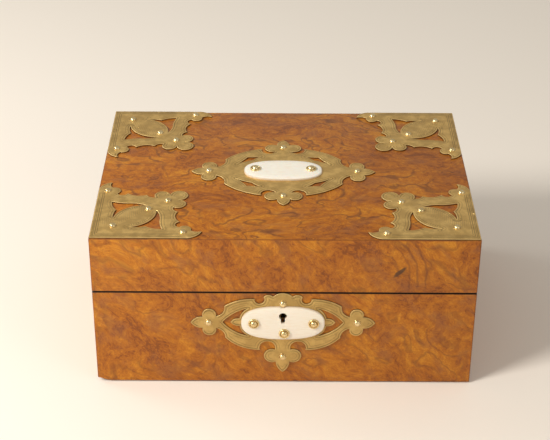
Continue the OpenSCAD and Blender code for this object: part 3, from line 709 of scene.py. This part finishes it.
def ring_points(flat, rings):
    """Rows of points that follow each loop at the distances in rings, dropped where they meet another edge."""
    points = []
    for loop in flat:
        before, after = np.roll(loop, 1, axis=0), np.roll(loop, -1, axis=0)
        normal, side = left_of(after - before), left_of(after - loop)
        middle = (loop + after) / 2
        for ring in rings:
            for sign in (1, -1):
                near = np.concatenate([loop + sign * ring * normal, middle + sign * ring * side])
                near = near[inside_loops(near, flat)]
                if len(near):
                    away, _ = edge_distance(near, flat)
                    points.append(near[away > ROOM_SHARE * ring])
    return points


print("points ready")

# %% A triangle mesh inside an outline
MERGE_WITHIN = 0.0001 * MM


def filled(flat, rings, spacing):
    """Points and triangles of a flat mesh that keeps every loop as an edge."""
    points = [grid_points(flat, spacing, rings[-1] + 0.4 * spacing)] + ring_points(flat, rings)
    edges = []
    first = 0
    for loop in flat:
        edges += [(first + i, first + (i + 1) % len(loop)) for i in range(len(loop))]
        first += len(loop)
    every = np.concatenate([*flat, *points])
    verts, _, faces, *_ = delaunay_2d_cdt([Vector(p) for p in every], edges, [], 0, MERGE_WITHIN)
    verts = np.array([tuple(p) for p in verts])
    triangles = np.array([f for f in faces if len(f) == 3])
    return verts, triangles[inside_loops(verts[triangles].mean(axis=1), flat)]


def finish_piece(bm, name, slots, body, nodes, sharp=40):
    """Makes the object in the materials of its slots, smooths it by angle, and gives it to its body."""
    mesh = bpy.data.meshes.new(name)
    bm.to_mesh(mesh)
    bm.free()
    for label in slots:
        mesh.materials.append(bpy.data.materials[label])
    for polygon in mesh.polygons:
        polygon.use_smooth = True
    mesh.set_sharp_from_angle(angle=math.radians(sharp))
    piece = bpy.data.objects.new(name, mesh)
    scene.collection.objects.link(piece)
    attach(piece, body)
    if nodes:
        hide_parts(*nodes)
    return piece


print("filling ready")

# %% A solid plate on an outline
UP, RIGHT, TOWARDS = Vector((0, 0, 1)), Vector((1, 0, 0)), Vector((0, -1, 0))
# Wall points take this as their edge distance: the brass paints shade down its walls from it, and the bone its soiled
# edge.
WALL_MARK = -1.0


def walls_and_back(bm, out, level, edge_layer):
    """Closes an open face with straight walls down to level, and a flat back."""
    rim = {}
    for edge in [e for e in bm.edges if e.is_boundary]:
        face = edge.link_faces[0]
        loop = next(corner for corner in face.loops if corner.edge is edge)
        a, b = loop.vert, loop.link_loop_next.vert
        for vert in (a, b):
            if vert not in rim:
                rim[vert] = bm.verts.new(vert.co + out * (level - vert.co.dot(out)))
                rim[vert][edge_layer] = WALL_MARK
        bm.faces.new((b, a, rim[a], rim[b]))
    for vert in [v for v in bm.verts if not v.link_faces]:
        bm.verts.remove(vert)
    bottom = [e for e in bm.edges if e.is_boundary]
    bmesh.ops.triangle_fill(bm, use_beauty=False, use_dissolve=False, edges=bottom, normal=-out)
    bmesh.ops.recalc_face_normals(bm, faces=bm.faces)


def plate(name, node, out, thickness, relief, marks, rings, spacing, hole_limit, slot, body):
    """A solid plate on a CAD node's back outline.

    relief gives the face's height above its own level, and marks the values for its material. A loop no wider than
    hole_limit is a stud's hole, and takes no lip.
    """
    source = merged(node)
    level, loops = back_loops(source, out)
    source.free()
    across = out.cross(RIGHT)
    flat = [np.array([(p.dot(RIGHT), p.dot(across)) for p in loop]) for loop in loops]
    is_hole = [max(np.ptp(loop[:, 0]), np.ptp(loop[:, 1])) <= hole_limit for loop in flat]
    edge_loops = [loop for loop, hole in zip(flat, is_hole) if not hole]
    holes = [loop.mean(axis=0) for loop, hole in zip(flat, is_hole) if hole]
    points, triangles = filled(flat, rings, spacing)
    us, vs = points[:, 0], points[:, 1]
    edge, along = edge_distance(points, edge_loops)
    stud = np.min([np.linalg.norm(points - hole, axis=1) for hole in holes], axis=0)
    height = thickness + relief(edge, us, vs, stud)
    values = {"edge_mm": edge / MM, "along_mm": along / MM, "stud_mm": stud / MM, **marks(us, vs)}
    bm = bmesh.new()
    layers = {label: bm.verts.layers.float.new(label) for label in values}
    top = []
    for i, ((u, v), h) in enumerate(zip(points, height)):
        vert = bm.verts.new(RIGHT * u + across * v + out * (level + h))
        for label, layer in layers.items():
            vert[layer] = values[label][i]
        top.append(vert)
    for a, b, c in triangles:
        bm.faces.new((top[a], top[b], top[c]))
    walls_and_back(bm, out, level, layers["edge_mm"])
    piece = finish_piece(bm, name, [slot], body, [node])
    print(name, len(piece.data.polygons), "faces")


print("plates ready")

# %% The face of the brass plates
LIP, LIP_DROP = 0.42 * MM, 0.24 * MM
GROOVE_HALF, GROOVE_DEPTH = 0.4 * MM, 0.26 * MM
LOBE_RISE, LOBE_ROUND = 0.25 * MM, 2.5 * MM
OFF_BAND = 99.0


def worked_face(edge, u, v, stud):
    """Rounded lip at the edge and an engraved line inside it, with plain swollen lobes round the studs."""
    lowered = -LIP_DROP * np.clip(1 - edge / LIP, 0, 1) ** 2
    lobe = np.clip((LOBE_MM + 2.0 - stud / MM) / 2.0, 0, 1)
    cut = -GROOVE_DEPTH * np.clip(1 - np.abs(edge - GROOVE_AT * MM) / GROOVE_HALF, 0, 1)
    swell = LOBE_RISE * np.clip(edge / LOBE_ROUND, 0, 1) * lobe
    return lowered + cut * (1 - lobe) + swell


def no_marks(u, v):
    """A plate without bands or a leaf."""
    return {"band_mm": np.full(len(u), OFF_BAND), "leaf": np.zeros(len(u)), "vein_mm": np.zeros(len(u))}


print("lip", LIP / MM, "mm wide and", LIP_DROP / MM, "mm deep")

# %% The face of the corner mounts
TREFOIL_AT, TREFOIL_IN, TREFOIL_OUT = 53 * MM, 4.0 * MM, 13.5 * MM
RIDGE_COUNT, RIDGE_DEPTH = 14, 0.16 * MM
LEAF_FROM, LEAF_TO, LEAF_HALF = 19 * MM, 57 * MM, 13 * MM
BAND_END = 64 * MM
VEIN_SLANT = 0.8


def corner_place(u, v):
    """Distances of points from the lid's nearest side edge and nearest front or back edge."""
    return case_w / 2 - np.abs(u), case_d / 2 - np.abs(v)


def mount_face(edge, u, v, stud):
    """The worked face with ridges that fan out over the trefoil's lobes."""
    p, q = corner_place(u, v)
    a, b = p - TREFOIL_AT, q - TREFOIL_AT
    away = np.hypot(a, b)
    lobes = np.clip((away - TREFOIL_IN) / MM, 0, 1) * np.clip((TREFOIL_OUT - away) / MM, 0, 1)
    lobes = lobes * ((a + b) > -3.0 * MM) * np.clip((edge - MM) / (0.6 * MM), 0, 1)
    ridges = RIDGE_DEPTH * lobes * (np.sin(RIDGE_COUNT * np.arctan2(b, a)) - 1) / 2
    return worked_face(edge, u, v, stud) + ridges


def mount_marks(u, v):
    """Where the band along the lid's edges, the diagonal leaf and its veins lie, for the engraving."""
    p, q = corner_place(u, v)
    along, across = (p + q) / math.sqrt(2), (p - q) / math.sqrt(2)
    leaf = (along > LEAF_FROM) & (along < LEAF_TO) & (np.abs(across) < LEAF_HALF)
    band_at = np.minimum(p, q) / MM
    band_at[np.maximum(p, q) > BAND_END] = OFF_BAND
    return {"band_mm": band_at, "leaf": leaf.astype(float), "vein_mm": (along - VEIN_SLANT * np.abs(across)) / MM}


print("trefoils", TREFOIL_AT / MM, "mm from the edges")

# %% Brass plates
BRASS_RINGS = [ring * MM for ring in (0.14, 0.42, 0.9, 1.3, 1.7)]
BRASS_SPACING, STUD_HOLE = 0.9 * MM, 2.5 * MM
mount_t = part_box("cartouche")[1].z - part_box("cartouche")[0].z


def brass_plate(node, relief, marks, out, body):
    plate(node + "_worked", node, out, mount_t, relief, marks, BRASS_RINGS, BRASS_SPACING, STUD_HOLE,
          "aged_brass", body)


for corner in ("front_left", "front_right", "back_left", "back_right"):
    brass_plate("mount_" + corner, mount_face, mount_marks, UP, "lid")
brass_plate("cartouche", worked_face, no_marks, UP, "lid")
brass_plate("escutcheon", worked_face, no_marks, TOWARDS, "base")

# %% Bone plaques
PLAQUE_SHOULDER, PLAQUE_DROP = 8 * MM, 1.1 * MM
SHOULDER_POWER = 2.4
BONE_RINGS = [ring * MM for ring in (0.3, 0.8, 1.6, 2.8, 4.2)]
BONE_SPACING, PLAQUE_HOLE = 1.2 * MM, 15 * MM
plaque_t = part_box("lid_plaque")[1].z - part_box("lid_plaque")[0].z


def pillow(edge, u, v, stud):
    """Round shoulder that rises to a level middle."""
    share = np.clip(1 - edge / PLAQUE_SHOULDER, 0, 1)
    return -PLAQUE_DROP * (1 - np.sqrt(np.clip(1 - share**SHOULDER_POWER, 0, 1)))


for node, out, body in (("lid_plaque", UP, "lid"), ("escutcheon_plaque", TOWARDS, "base")):
    plate(node + "_domed", node, out, plaque_t, pillow, no_marks, BONE_RINGS, BONE_SPACING, PLAQUE_HOLE,
          "bone", body)

# %% [markdown]
# ## Studs
# Each stud is a turned dome inside a raised ring. A subdivided sphere would need its ring added and joined, so one
# profile is spun instead. Every CAD stud gives its own centre and width, which keeps the turned ones on their holes,
# and no stud is taller than its own.

# %% The profile of a stud
STUD_RING, STUD_RISE = 0.5 * MM, 0.58
RING_FOOT, DOME_FOOT = 0.1, 0.06
RING_HALF, RING_TALL = 0.45, 1.3
SMALL_DOME, BIG_DOME = 0.86, 0.68


def stud_profile(r, dome):
    """Radius and height of the ring and the dome, from the foot to the top. dome is the dome's share of r."""
    top = STUD_RING + STUD_RISE * r
    ring = RING_HALF * (1 - dome) * r
    points = [(r, 0.0), (r, RING_FOOT * r)]
    for degrees in range(15, 181, 15):
        a = math.radians(degrees)
        points.append((r - ring + ring * math.cos(a), RING_FOOT * r + RING_TALL * ring * math.sin(a)))
    for degrees in range(0, 90, 9):
        a = math.radians(degrees)
        points.append((dome * r * math.cos(a), DOME_FOOT * r + (top - DOME_FOOT * r) * math.sin(a)))
    points.append((0.0, top))
    return points


print("profile of", len(stud_profile(MM, SMALL_DOME)), "points")

# %% Turned studs
STUD_SIDES = 40


def islands(bm):
    """The vertices of each separate solid in a mesh."""
    left = set(bm.verts)
    while left:
        group = {left.pop()}
        edge = list(group)
        while edge:
            vert = edge.pop()
            for link in vert.link_edges:
                other = link.other_vert(vert)
                if other in left:
                    left.discard(other)
                    group.add(other)
                    edge.append(other)
        yield group


def turned(node, out, body, dome):
    """Spins one profile on the axis of every stud in a node."""
    source = merged(node)
    bm = bmesh.new()
    count = 0
    for group in islands(source):
        heights = [v.co.dot(out) for v in group]
        top = max(heights)
        flange = [v.co for v in group if v.co.dot(out) > (min(heights) + top) / 2]
        centre = sum(flange, Vector()) / len(flange)
        r = max((p - centre - out * (p - centre).dot(out)).length for p in flange)
        foot = top - (STUD_RING + STUD_RISE * r)
        base = centre + out * (foot - centre.dot(out))
        profile = [bm.verts.new(base + RIGHT * a + out * h) for a, h in stud_profile(r, dome)]
        lines = [bm.edges.new(pair) for pair in zip(profile, profile[1:])]
        bmesh.ops.spin(bm, geom=profile + lines, cent=base, axis=out, angle=2 * math.pi, steps=STUD_SIDES,
                       use_merge=True)
        count += 1
    source.free()
    bmesh.ops.remove_doubles(bm, verts=bm.verts, dist=0.1 * CLOSE)
    bmesh.ops.recalc_face_normals(bm, faces=bm.faces)
    finish_piece(bm, node + "_turned", ["polished_brass"], body, [node])
    print(node, count, "studs")


turned("mount_studs", UP, "lid", SMALL_DOME)
turned("cartouche_studs", UP, "lid", SMALL_DOME)
turned("plaque_studs_lid", UP, "lid", BIG_DOME)
turned("escutcheon_studs", TOWARDS, "base", SMALL_DOME)
turned("plaque_studs_front", TOWARDS, "base", BIG_DOME)

# %% [markdown]
# ## Veneered case
# The CAD veneers have knife edges. A bevel modifier would round every recess as well, so only the outer edges are
# bevelled here, on a copy. Real veneer wears round and dark along its corners, and the darkness beside the seam
# between lid and base is painted shade. The left foot at the front has lost its corner, so a slanting plane cuts it
# off and shows the mahogany under the veneer.

# %% Mahogany
MAHOGANY = [(0.35, (0.095, 0.027, 0.012)), (0.55, (0.175, 0.052, 0.020)), (0.72, (0.25, 0.085, 0.032))]

tree = new_material("mahogany").node_tree
grain_place = vector_maths(tree, "MULTIPLY", place_in_mm(tree), (0.12, 1.0, 1.0))
streaks = noise(tree, grain_place, 0.45, 4.0, 0.6)
surface(tree, ramp(tree, streaks, MAHOGANY), {"Roughness": 0.4, "Coat Weight": 0.2, "Coat Roughness": 0.25},
        bump=streaks, bump_depth=0.05 * MM)
print("mahogany ready")

# %% A worn corner
WORN_L, WORN_D, WORN_H = 10 * MM, 7 * MM, 3 * MM


def worn_corner(bm):
    """Cuts the lower left front corner off, and closes the cut with the mesh's second material."""
    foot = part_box("base_veneer")[0]
    points = (foot + Vector((WORN_L, 0, 0)), foot + Vector((0, 0, WORN_H)), foot + Vector((0, WORN_D, 0)))
    normal = (points[1] - points[0]).cross(points[2] - points[0]).normalized()
    if normal.dot(foot - points[0]) < 0:
        normal = -normal
    everything = list(bm.verts) + list(bm.edges) + list(bm.faces)
    cut = bmesh.ops.bisect_plane(bm, geom=everything, plane_co=points[0], plane_no=normal, clear_outer=True)
    edges = [e for e in cut["geom_cut"] if isinstance(e, bmesh.types.BMEdge)]
    for face in bmesh.ops.holes_fill(bm, edges=edges, sides=0)["faces"]:
        face.material_index = 1


print("corner worn by", WORN_L / MM, "by", WORN_D / MM, "by", WORN_H / MM, "mm")

# %% Veneers with soft edges
VENEER_ROUND = 0.55 * MM
SQUARE = math.radians(60)
FLAT = math.radians(1)


def flattened(node):
    """A merged copy whose flat faces are single polygons."""
    bm = merged(node)
    bmesh.ops.dissolve_limit(bm, angle_limit=FLAT, verts=bm.verts, edges=bm.edges)
    return bm


def veneer(node, body, worn=False):
    bm = flattened(node)
    low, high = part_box(node)

    def on_sides(p):
        """For each axis, whether a point lies on the node's box there."""
        return [min(abs(p[i] - low[i]), abs(p[i] - high[i])) < CLOSE for i in range(3)]

    outer = []
    for edge in bm.edges:
        a, b = edge.verts
        shared = sum(m and n for m, n in zip(on_sides(a.co), on_sides(b.co)))
        if shared >= 2 and len(edge.link_faces) == 2 and edge.calc_face_angle(0) > SQUARE:
            outer.append(edge)
    bmesh.ops.bevel(bm, geom=outer, offset=VENEER_ROUND, segments=3, profile=0.5, affect="EDGES",
                    material=-1, clamp_overlap=True)
    if worn:
        worn_corner(bm)
    finish_piece(bm, node + "_soft_edged", ["burr_walnut", "mahogany"], body, [node], sharp=30)
    print(node, len(outer), "edges rounded")


veneer("base_veneer", "base", worn=True)
veneer("lid_veneer", "lid")

# %% The bottom board under the worn corner
bm = flattened("base_bottom")
worn_corner(bm)
bottom = finish_piece(bm, "base_bottom_worn", ["mahogany", "mahogany"], "base", ["base_bottom"],
                      sharp=30)
print(bottom.name, len(bottom.data.polygons), "faces")

# %% [markdown]
# ## Inside the box
# The inside only shows with the lid open. It gets the same care on fewer pieces: mahogany boards, velvet linings,
# buttoned silk, a tooled leather frame and an old mirror. Cloth could be simulated, but these pieces are glued or
# stuffed tight, so their shapes are drawn directly: pillowed rolls and a padded panel with buttons.

# %% Steel
STEEL = (0.36, 0.35, 0.33)

tree = new_material("steel").node_tree
surface(tree, STEEL, {"Metallic": 1.0, "Roughness": 0.38}, bump=noise(tree, place_in_mm(tree), 1.2, 2.0),
        bump_depth=0.05 * MM)
print("steel ready")

# %% Velvet and baize
def cloth(name, colour, dark, pile, sheen):
    """Napped cloth with patches where the pile lies the other way."""
    tree = new_material(name).node_tree
    place = place_in_mm(tree)
    paint = mix(tree, band(tree, noise(tree, place, 0.045, 3.0), 0.35, 0.65), dark, colour)
    surface(tree, paint, {"Roughness": 0.85, "Sheen Weight": sheen, "Sheen Roughness": 0.4,
                          "Specular IOR Level": 0.15},
            bump=noise(tree, place, 1.2, 2.0, 0.7), bump_depth=pile)


cloth("velvet", (0.145, 0.012, 0.030), (0.085, 0.006, 0.018), pile=0.4 * MM, sheen=0.55)
cloth("baize", (0.030, 0.085, 0.040), (0.018, 0.055, 0.026), pile=0.3 * MM, sheen=0.3)
print("velvet and baize ready")

# %% Silk
SILK, SILK_SHADE = (0.44, 0.085, 0.10), (0.30, 0.045, 0.060)

tree = new_material("silk").node_tree
weave = vector_maths(tree, "MULTIPLY", place_in_mm(tree), (1.0, 9.0, 9.0))
threads = noise(tree, weave, 0.9, 2.0, 0.6)
surface(tree, mix(tree, threads, SILK_SHADE, SILK),
        {"Roughness": 0.32, "Sheen Weight": 0.3, "Anisotropic": 0.5, "Specular IOR Level": 0.6},
        bump=threads, bump_depth=0.08 * MM)
print("silk ready")

# %% Gilt leather for the mirror's frame
LEATHER, GILT = (0.075, 0.014, 0.012), (0.78, 0.56, 0.24)
GILT_LINES, GILT_LINE_HALF = (2.2, 10.8), 0.35
SCROLL_AT, SCROLL_HALF, SCROLL_PER_MM = 6.5, 1.6, 1.3

tree = new_material("gilt_leather").node_tree
place = place_in_mm(tree)
x, y, _ = axes(tree, place)
frame_low, frame_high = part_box("mirror_frame")
half_w = (frame_high.x - frame_low.x) / 2 / MM
half_d = (frame_high.y - frame_low.y) / 2 / MM
from_edge = smaller(tree, minus(tree, half_w, maths(tree, "ABSOLUTE", x)),
                    minus(tree, half_d, maths(tree, "ABSOLUTE", y)))


def tooled(at, half):
    return band(tree, gap(tree, from_edge, at), half + 0.12, half)


lines = larger(tree, *[tooled(at, GILT_LINE_HALF) for at in GILT_LINES])
scrolls = times(tree, *[maths(tree, "SINE", times(tree, axis, SCROLL_PER_MM)) for axis in (x, y)])
lines = larger(tree, lines, times(tree, tooled(SCROLL_AT, SCROLL_HALF), band(tree, scrolls, 0.05, 0.35)))
height = minus(tree, times(tree, noise(tree, place, 1.1, 3.0, 0.6), 0.4), lines)
surface(tree, mix(tree, lines, LEATHER, GILT), {"Metallic": lines, "Roughness": 0.42},
        bump=height, bump_depth=0.15 * MM)
print("gilt leather ready")

# %% Old mirror glass
SILVER, TARNISH = (0.86, 0.88, 0.87), (0.30, 0.28, 0.25)

tree = new_material("mirror").node_tree
spots = band(tree, noise(tree, place_in_mm(tree), 0.12, 4.0, 0.7), 0.66, 0.74)
rough = band(tree, spots, 0.0, 1.0, 0.03, 0.45)
surface(tree, mix(tree, spots, SILVER, TARNISH), {"Metallic": 1.0, "Roughness": rough})
print("materials:", sorted(m.name for m in bpy.data.materials))

# %% Linings as thin cloth
CLOTH_ROUND = 0.25 * MM


def corners(group):
    """Lowest and highest corner of some vertices."""
    return (Vector([min(v.co[i] for v in group) for i in range(3)]),
            Vector([max(v.co[i] for v in group) for i in range(3)]))


def boxes_of(node):
    """The box of each solid in a node."""
    source = merged(node)
    found = [corners(group) for group in islands(source)]
    source.free()
    return found


def soft_box(bm, low, high):
    """A block with rounded edges."""
    made = bmesh.ops.create_cube(bm, size=1.0)["verts"]
    size = high - low
    for vert in made:
        vert.co = Vector([low[i] + (vert.co[i] + 0.5) * size[i] for i in range(3)])
    edges = list({e for v in made for e in v.link_edges})
    bmesh.ops.bevel(bm, geom=edges, offset=CLOTH_ROUND, segments=2, profile=0.5, affect="EDGES", material=-1)


def lining(name, node, slot, worn=False):
    """A soft-edged copy of a flat lining under or in the base."""
    bm = bmesh.new()
    for low, high in boxes_of(node):
        soft_box(bm, low, high)
    if worn:
        worn_corner(bm)
    piece = finish_piece(bm, name, [slot, slot], "base", [node])
    low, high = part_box(node)
    print(name, round(high.x - low.x, 4), "by", round(high.y - low.y, 4))


lining("base_baize_cloth", "base_baize", "baize", worn=True)
lining("floor_velvet", "floor_lining", "velvet")

# %% Velvet round the walls
RIM_ROUND = 0.3 * MM
LEVEL = 0.001 * MM


def ring_lining(name, node, body):
    """Velvet glued round four walls, folded over softly at its rim."""
    bm = flattened(node)
    low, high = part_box(node)

    def on_rim(vert):
        return min(abs(vert.co.z - high.z), abs(vert.co.z - low.z)) < LEVEL

    rims = [e for e in bm.edges if all(on_rim(v) for v in e.verts) and e.is_manifold]
    bmesh.ops.bevel(bm, geom=rims, offset=RIM_ROUND, segments=2, profile=0.5, affect="EDGES", material=-1)
    piece = finish_piece(bm, name, ["velvet"], body, [node])


ring_lining("wall_velvet", "wall_lining", "base")
ring_lining("lid_velvet", "lid_lining", "lid")

# %% Velvet in the tray
tray_cells = sorted(boxes_of("tray_lining"), key=lambda cell: (cell[0].x, cell[0].y))
for number, (low, high) in enumerate(tray_cells):
    bm = bmesh.new()
    soft_box(bm, low, high)
    piece = finish_piece(bm, "tray_velvet_" + str(number + 1), ["velvet"], "tray",
                         ["tray_lining"] if number == 0 else [])
print("velvet in", len(tray_cells), "compartments")

# %% Ring rolls
ROLL_COLUMNS, ROLL_SIDES = 40, 28
ROLL_END = 2.2 * MM
ROLL_TUCK, ROLL_TUCKS = 0.05, 3
END_WIDTH, END_HEIGHT, END_SAG = 0.45, 0.5, 0.4
SQUARENESS = 2 / 2.6


def squared(value):
    """A cosine or sine that turns a circle into a rounded square."""
    return math.copysign(abs(value) ** SQUARENESS, value)


def roll_ring(bm, low, size, t):
    """One ring of vertices round a roll, a share t along it, pulled in at the ends and a little at the tucks."""
    ends = min(t, 1 - t) * size.x / ROLL_END
    pull = math.sqrt(max(0.0, 1 - (1 - min(1, ends)) ** 2))
    tuck = 1 - ROLL_TUCK * abs(math.sin(t * math.pi * ROLL_TUCKS))
    width = size.y / 2 * (END_WIDTH + (1 - END_WIDTH) * pull)
    height = size.z / 2 * (END_HEIGHT + (1 - END_HEIGHT) * pull)
    sag = -END_SAG * (size.z / 2 - height)
    ring = []
    for j in range(ROLL_SIDES):
        a = 2 * math.pi * j / ROLL_SIDES
        y = squared(math.cos(a)) * width * tuck
        z = squared(math.sin(a)) * height * (tuck if math.sin(a) > 0 else 1) + sag
        place = (low.x + t * size.x, low.y + size.y / 2 + y, max(low.z, low.z + size.z / 2 + z))
        ring.append(bm.verts.new(place))
    return ring


bm = bmesh.new()
for low, high in boxes_of("ring_rolls"):
    rings = [roll_ring(bm, low, high - low, i / ROLL_COLUMNS) for i in range(ROLL_COLUMNS + 1)]
    for one, two in zip(rings, rings[1:]):
        for j in range(ROLL_SIDES):
            k = (j + 1) % ROLL_SIDES
            bm.faces.new((one[j], one[k], two[k], two[j]))
    bm.faces.new(list(reversed(rings[0])))
    bm.faces.new(rings[-1])
bmesh.ops.recalc_face_normals(bm, faces=bm.faces)
rolls = finish_piece(bm, "ring_rolls_stuffed", ["velvet"], "tray", ["ring_rolls"], sharp=70)
print("ring rolls stuffed,", len(rolls.data.polygons), "faces")

# %% The form of the padded silk
PAD_CELLS_X, PAD_CELLS_Y, PAD_STEPS = 7, 5, 12
PAD_SIDE = 5 * MM
PAD_LEAST, CREASE, PLUMPNESS = 0.12, 0.35, 0.45
pad_low, pad_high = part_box("lid_pad")
pad_size = pad_high - pad_low


def pad_depth(u, v):
    """Share of the full depth: full between buttons, pulled in at them and along the creases."""
    x, y = u * PAD_CELLS_X, v * PAD_CELLS_Y
    fold = min(abs(math.sin(math.pi * (x + y) / 2)), abs(math.sin(math.pi * (x - y) / 2)))
    from_side = min(min(u, 1 - u) * pad_size.x, min(v, 1 - v) * pad_size.y)
    side = min(1.0, from_side / PAD_SIDE) ** 0.5
    plump = CREASE + (1 - CREASE) * fold ** PLUMPNESS
    return PAD_LEAST + (1 - PAD_LEAST) * side * plump


print("pad in", PAD_CELLS_X, "by", PAD_CELLS_Y, "cells")

# %% Padded silk under the lid
bm = bmesh.new()
nx, ny = PAD_CELLS_X * PAD_STEPS, PAD_CELLS_Y * PAD_STEPS
front, back = {}, {}
for j in range(ny + 1):
    for i in range(nx + 1):
        u, v = i / nx, j / ny
        x, y = pad_low.x + u * pad_size.x, pad_low.y + v * pad_size.y
        front[i, j] = bm.verts.new((x, y, pad_high.z - pad_size.z * pad_depth(u, v)))
        if i in (0, nx) or j in (0, ny):
            back[i, j] = bm.verts.new((x, y, pad_high.z))
for j in range(ny):
    for i in range(nx):
        bm.faces.new((front[i, j], front[i, j + 1], front[i + 1, j + 1], front[i + 1, j]))
border = [(i, 0) for i in range(nx)] + [(nx, j) for j in range(ny)]
border += [(i, ny) for i in range(nx, 0, -1)] + [(0, j) for j in range(ny, 0, -1)]
for one, two in zip(border, border[1:] + border[:1]):
    bm.faces.new((front[one], front[two], back[two], back[one]))
bm.faces.new([back[place] for place in border])
bmesh.ops.recalc_face_normals(bm, faces=bm.faces)
pad = finish_piece(bm, "lid_pad_buttoned", ["silk"], "lid", ["lid_pad"], sharp=80)
print("padded silk", len(pad.data.polygons), "faces")
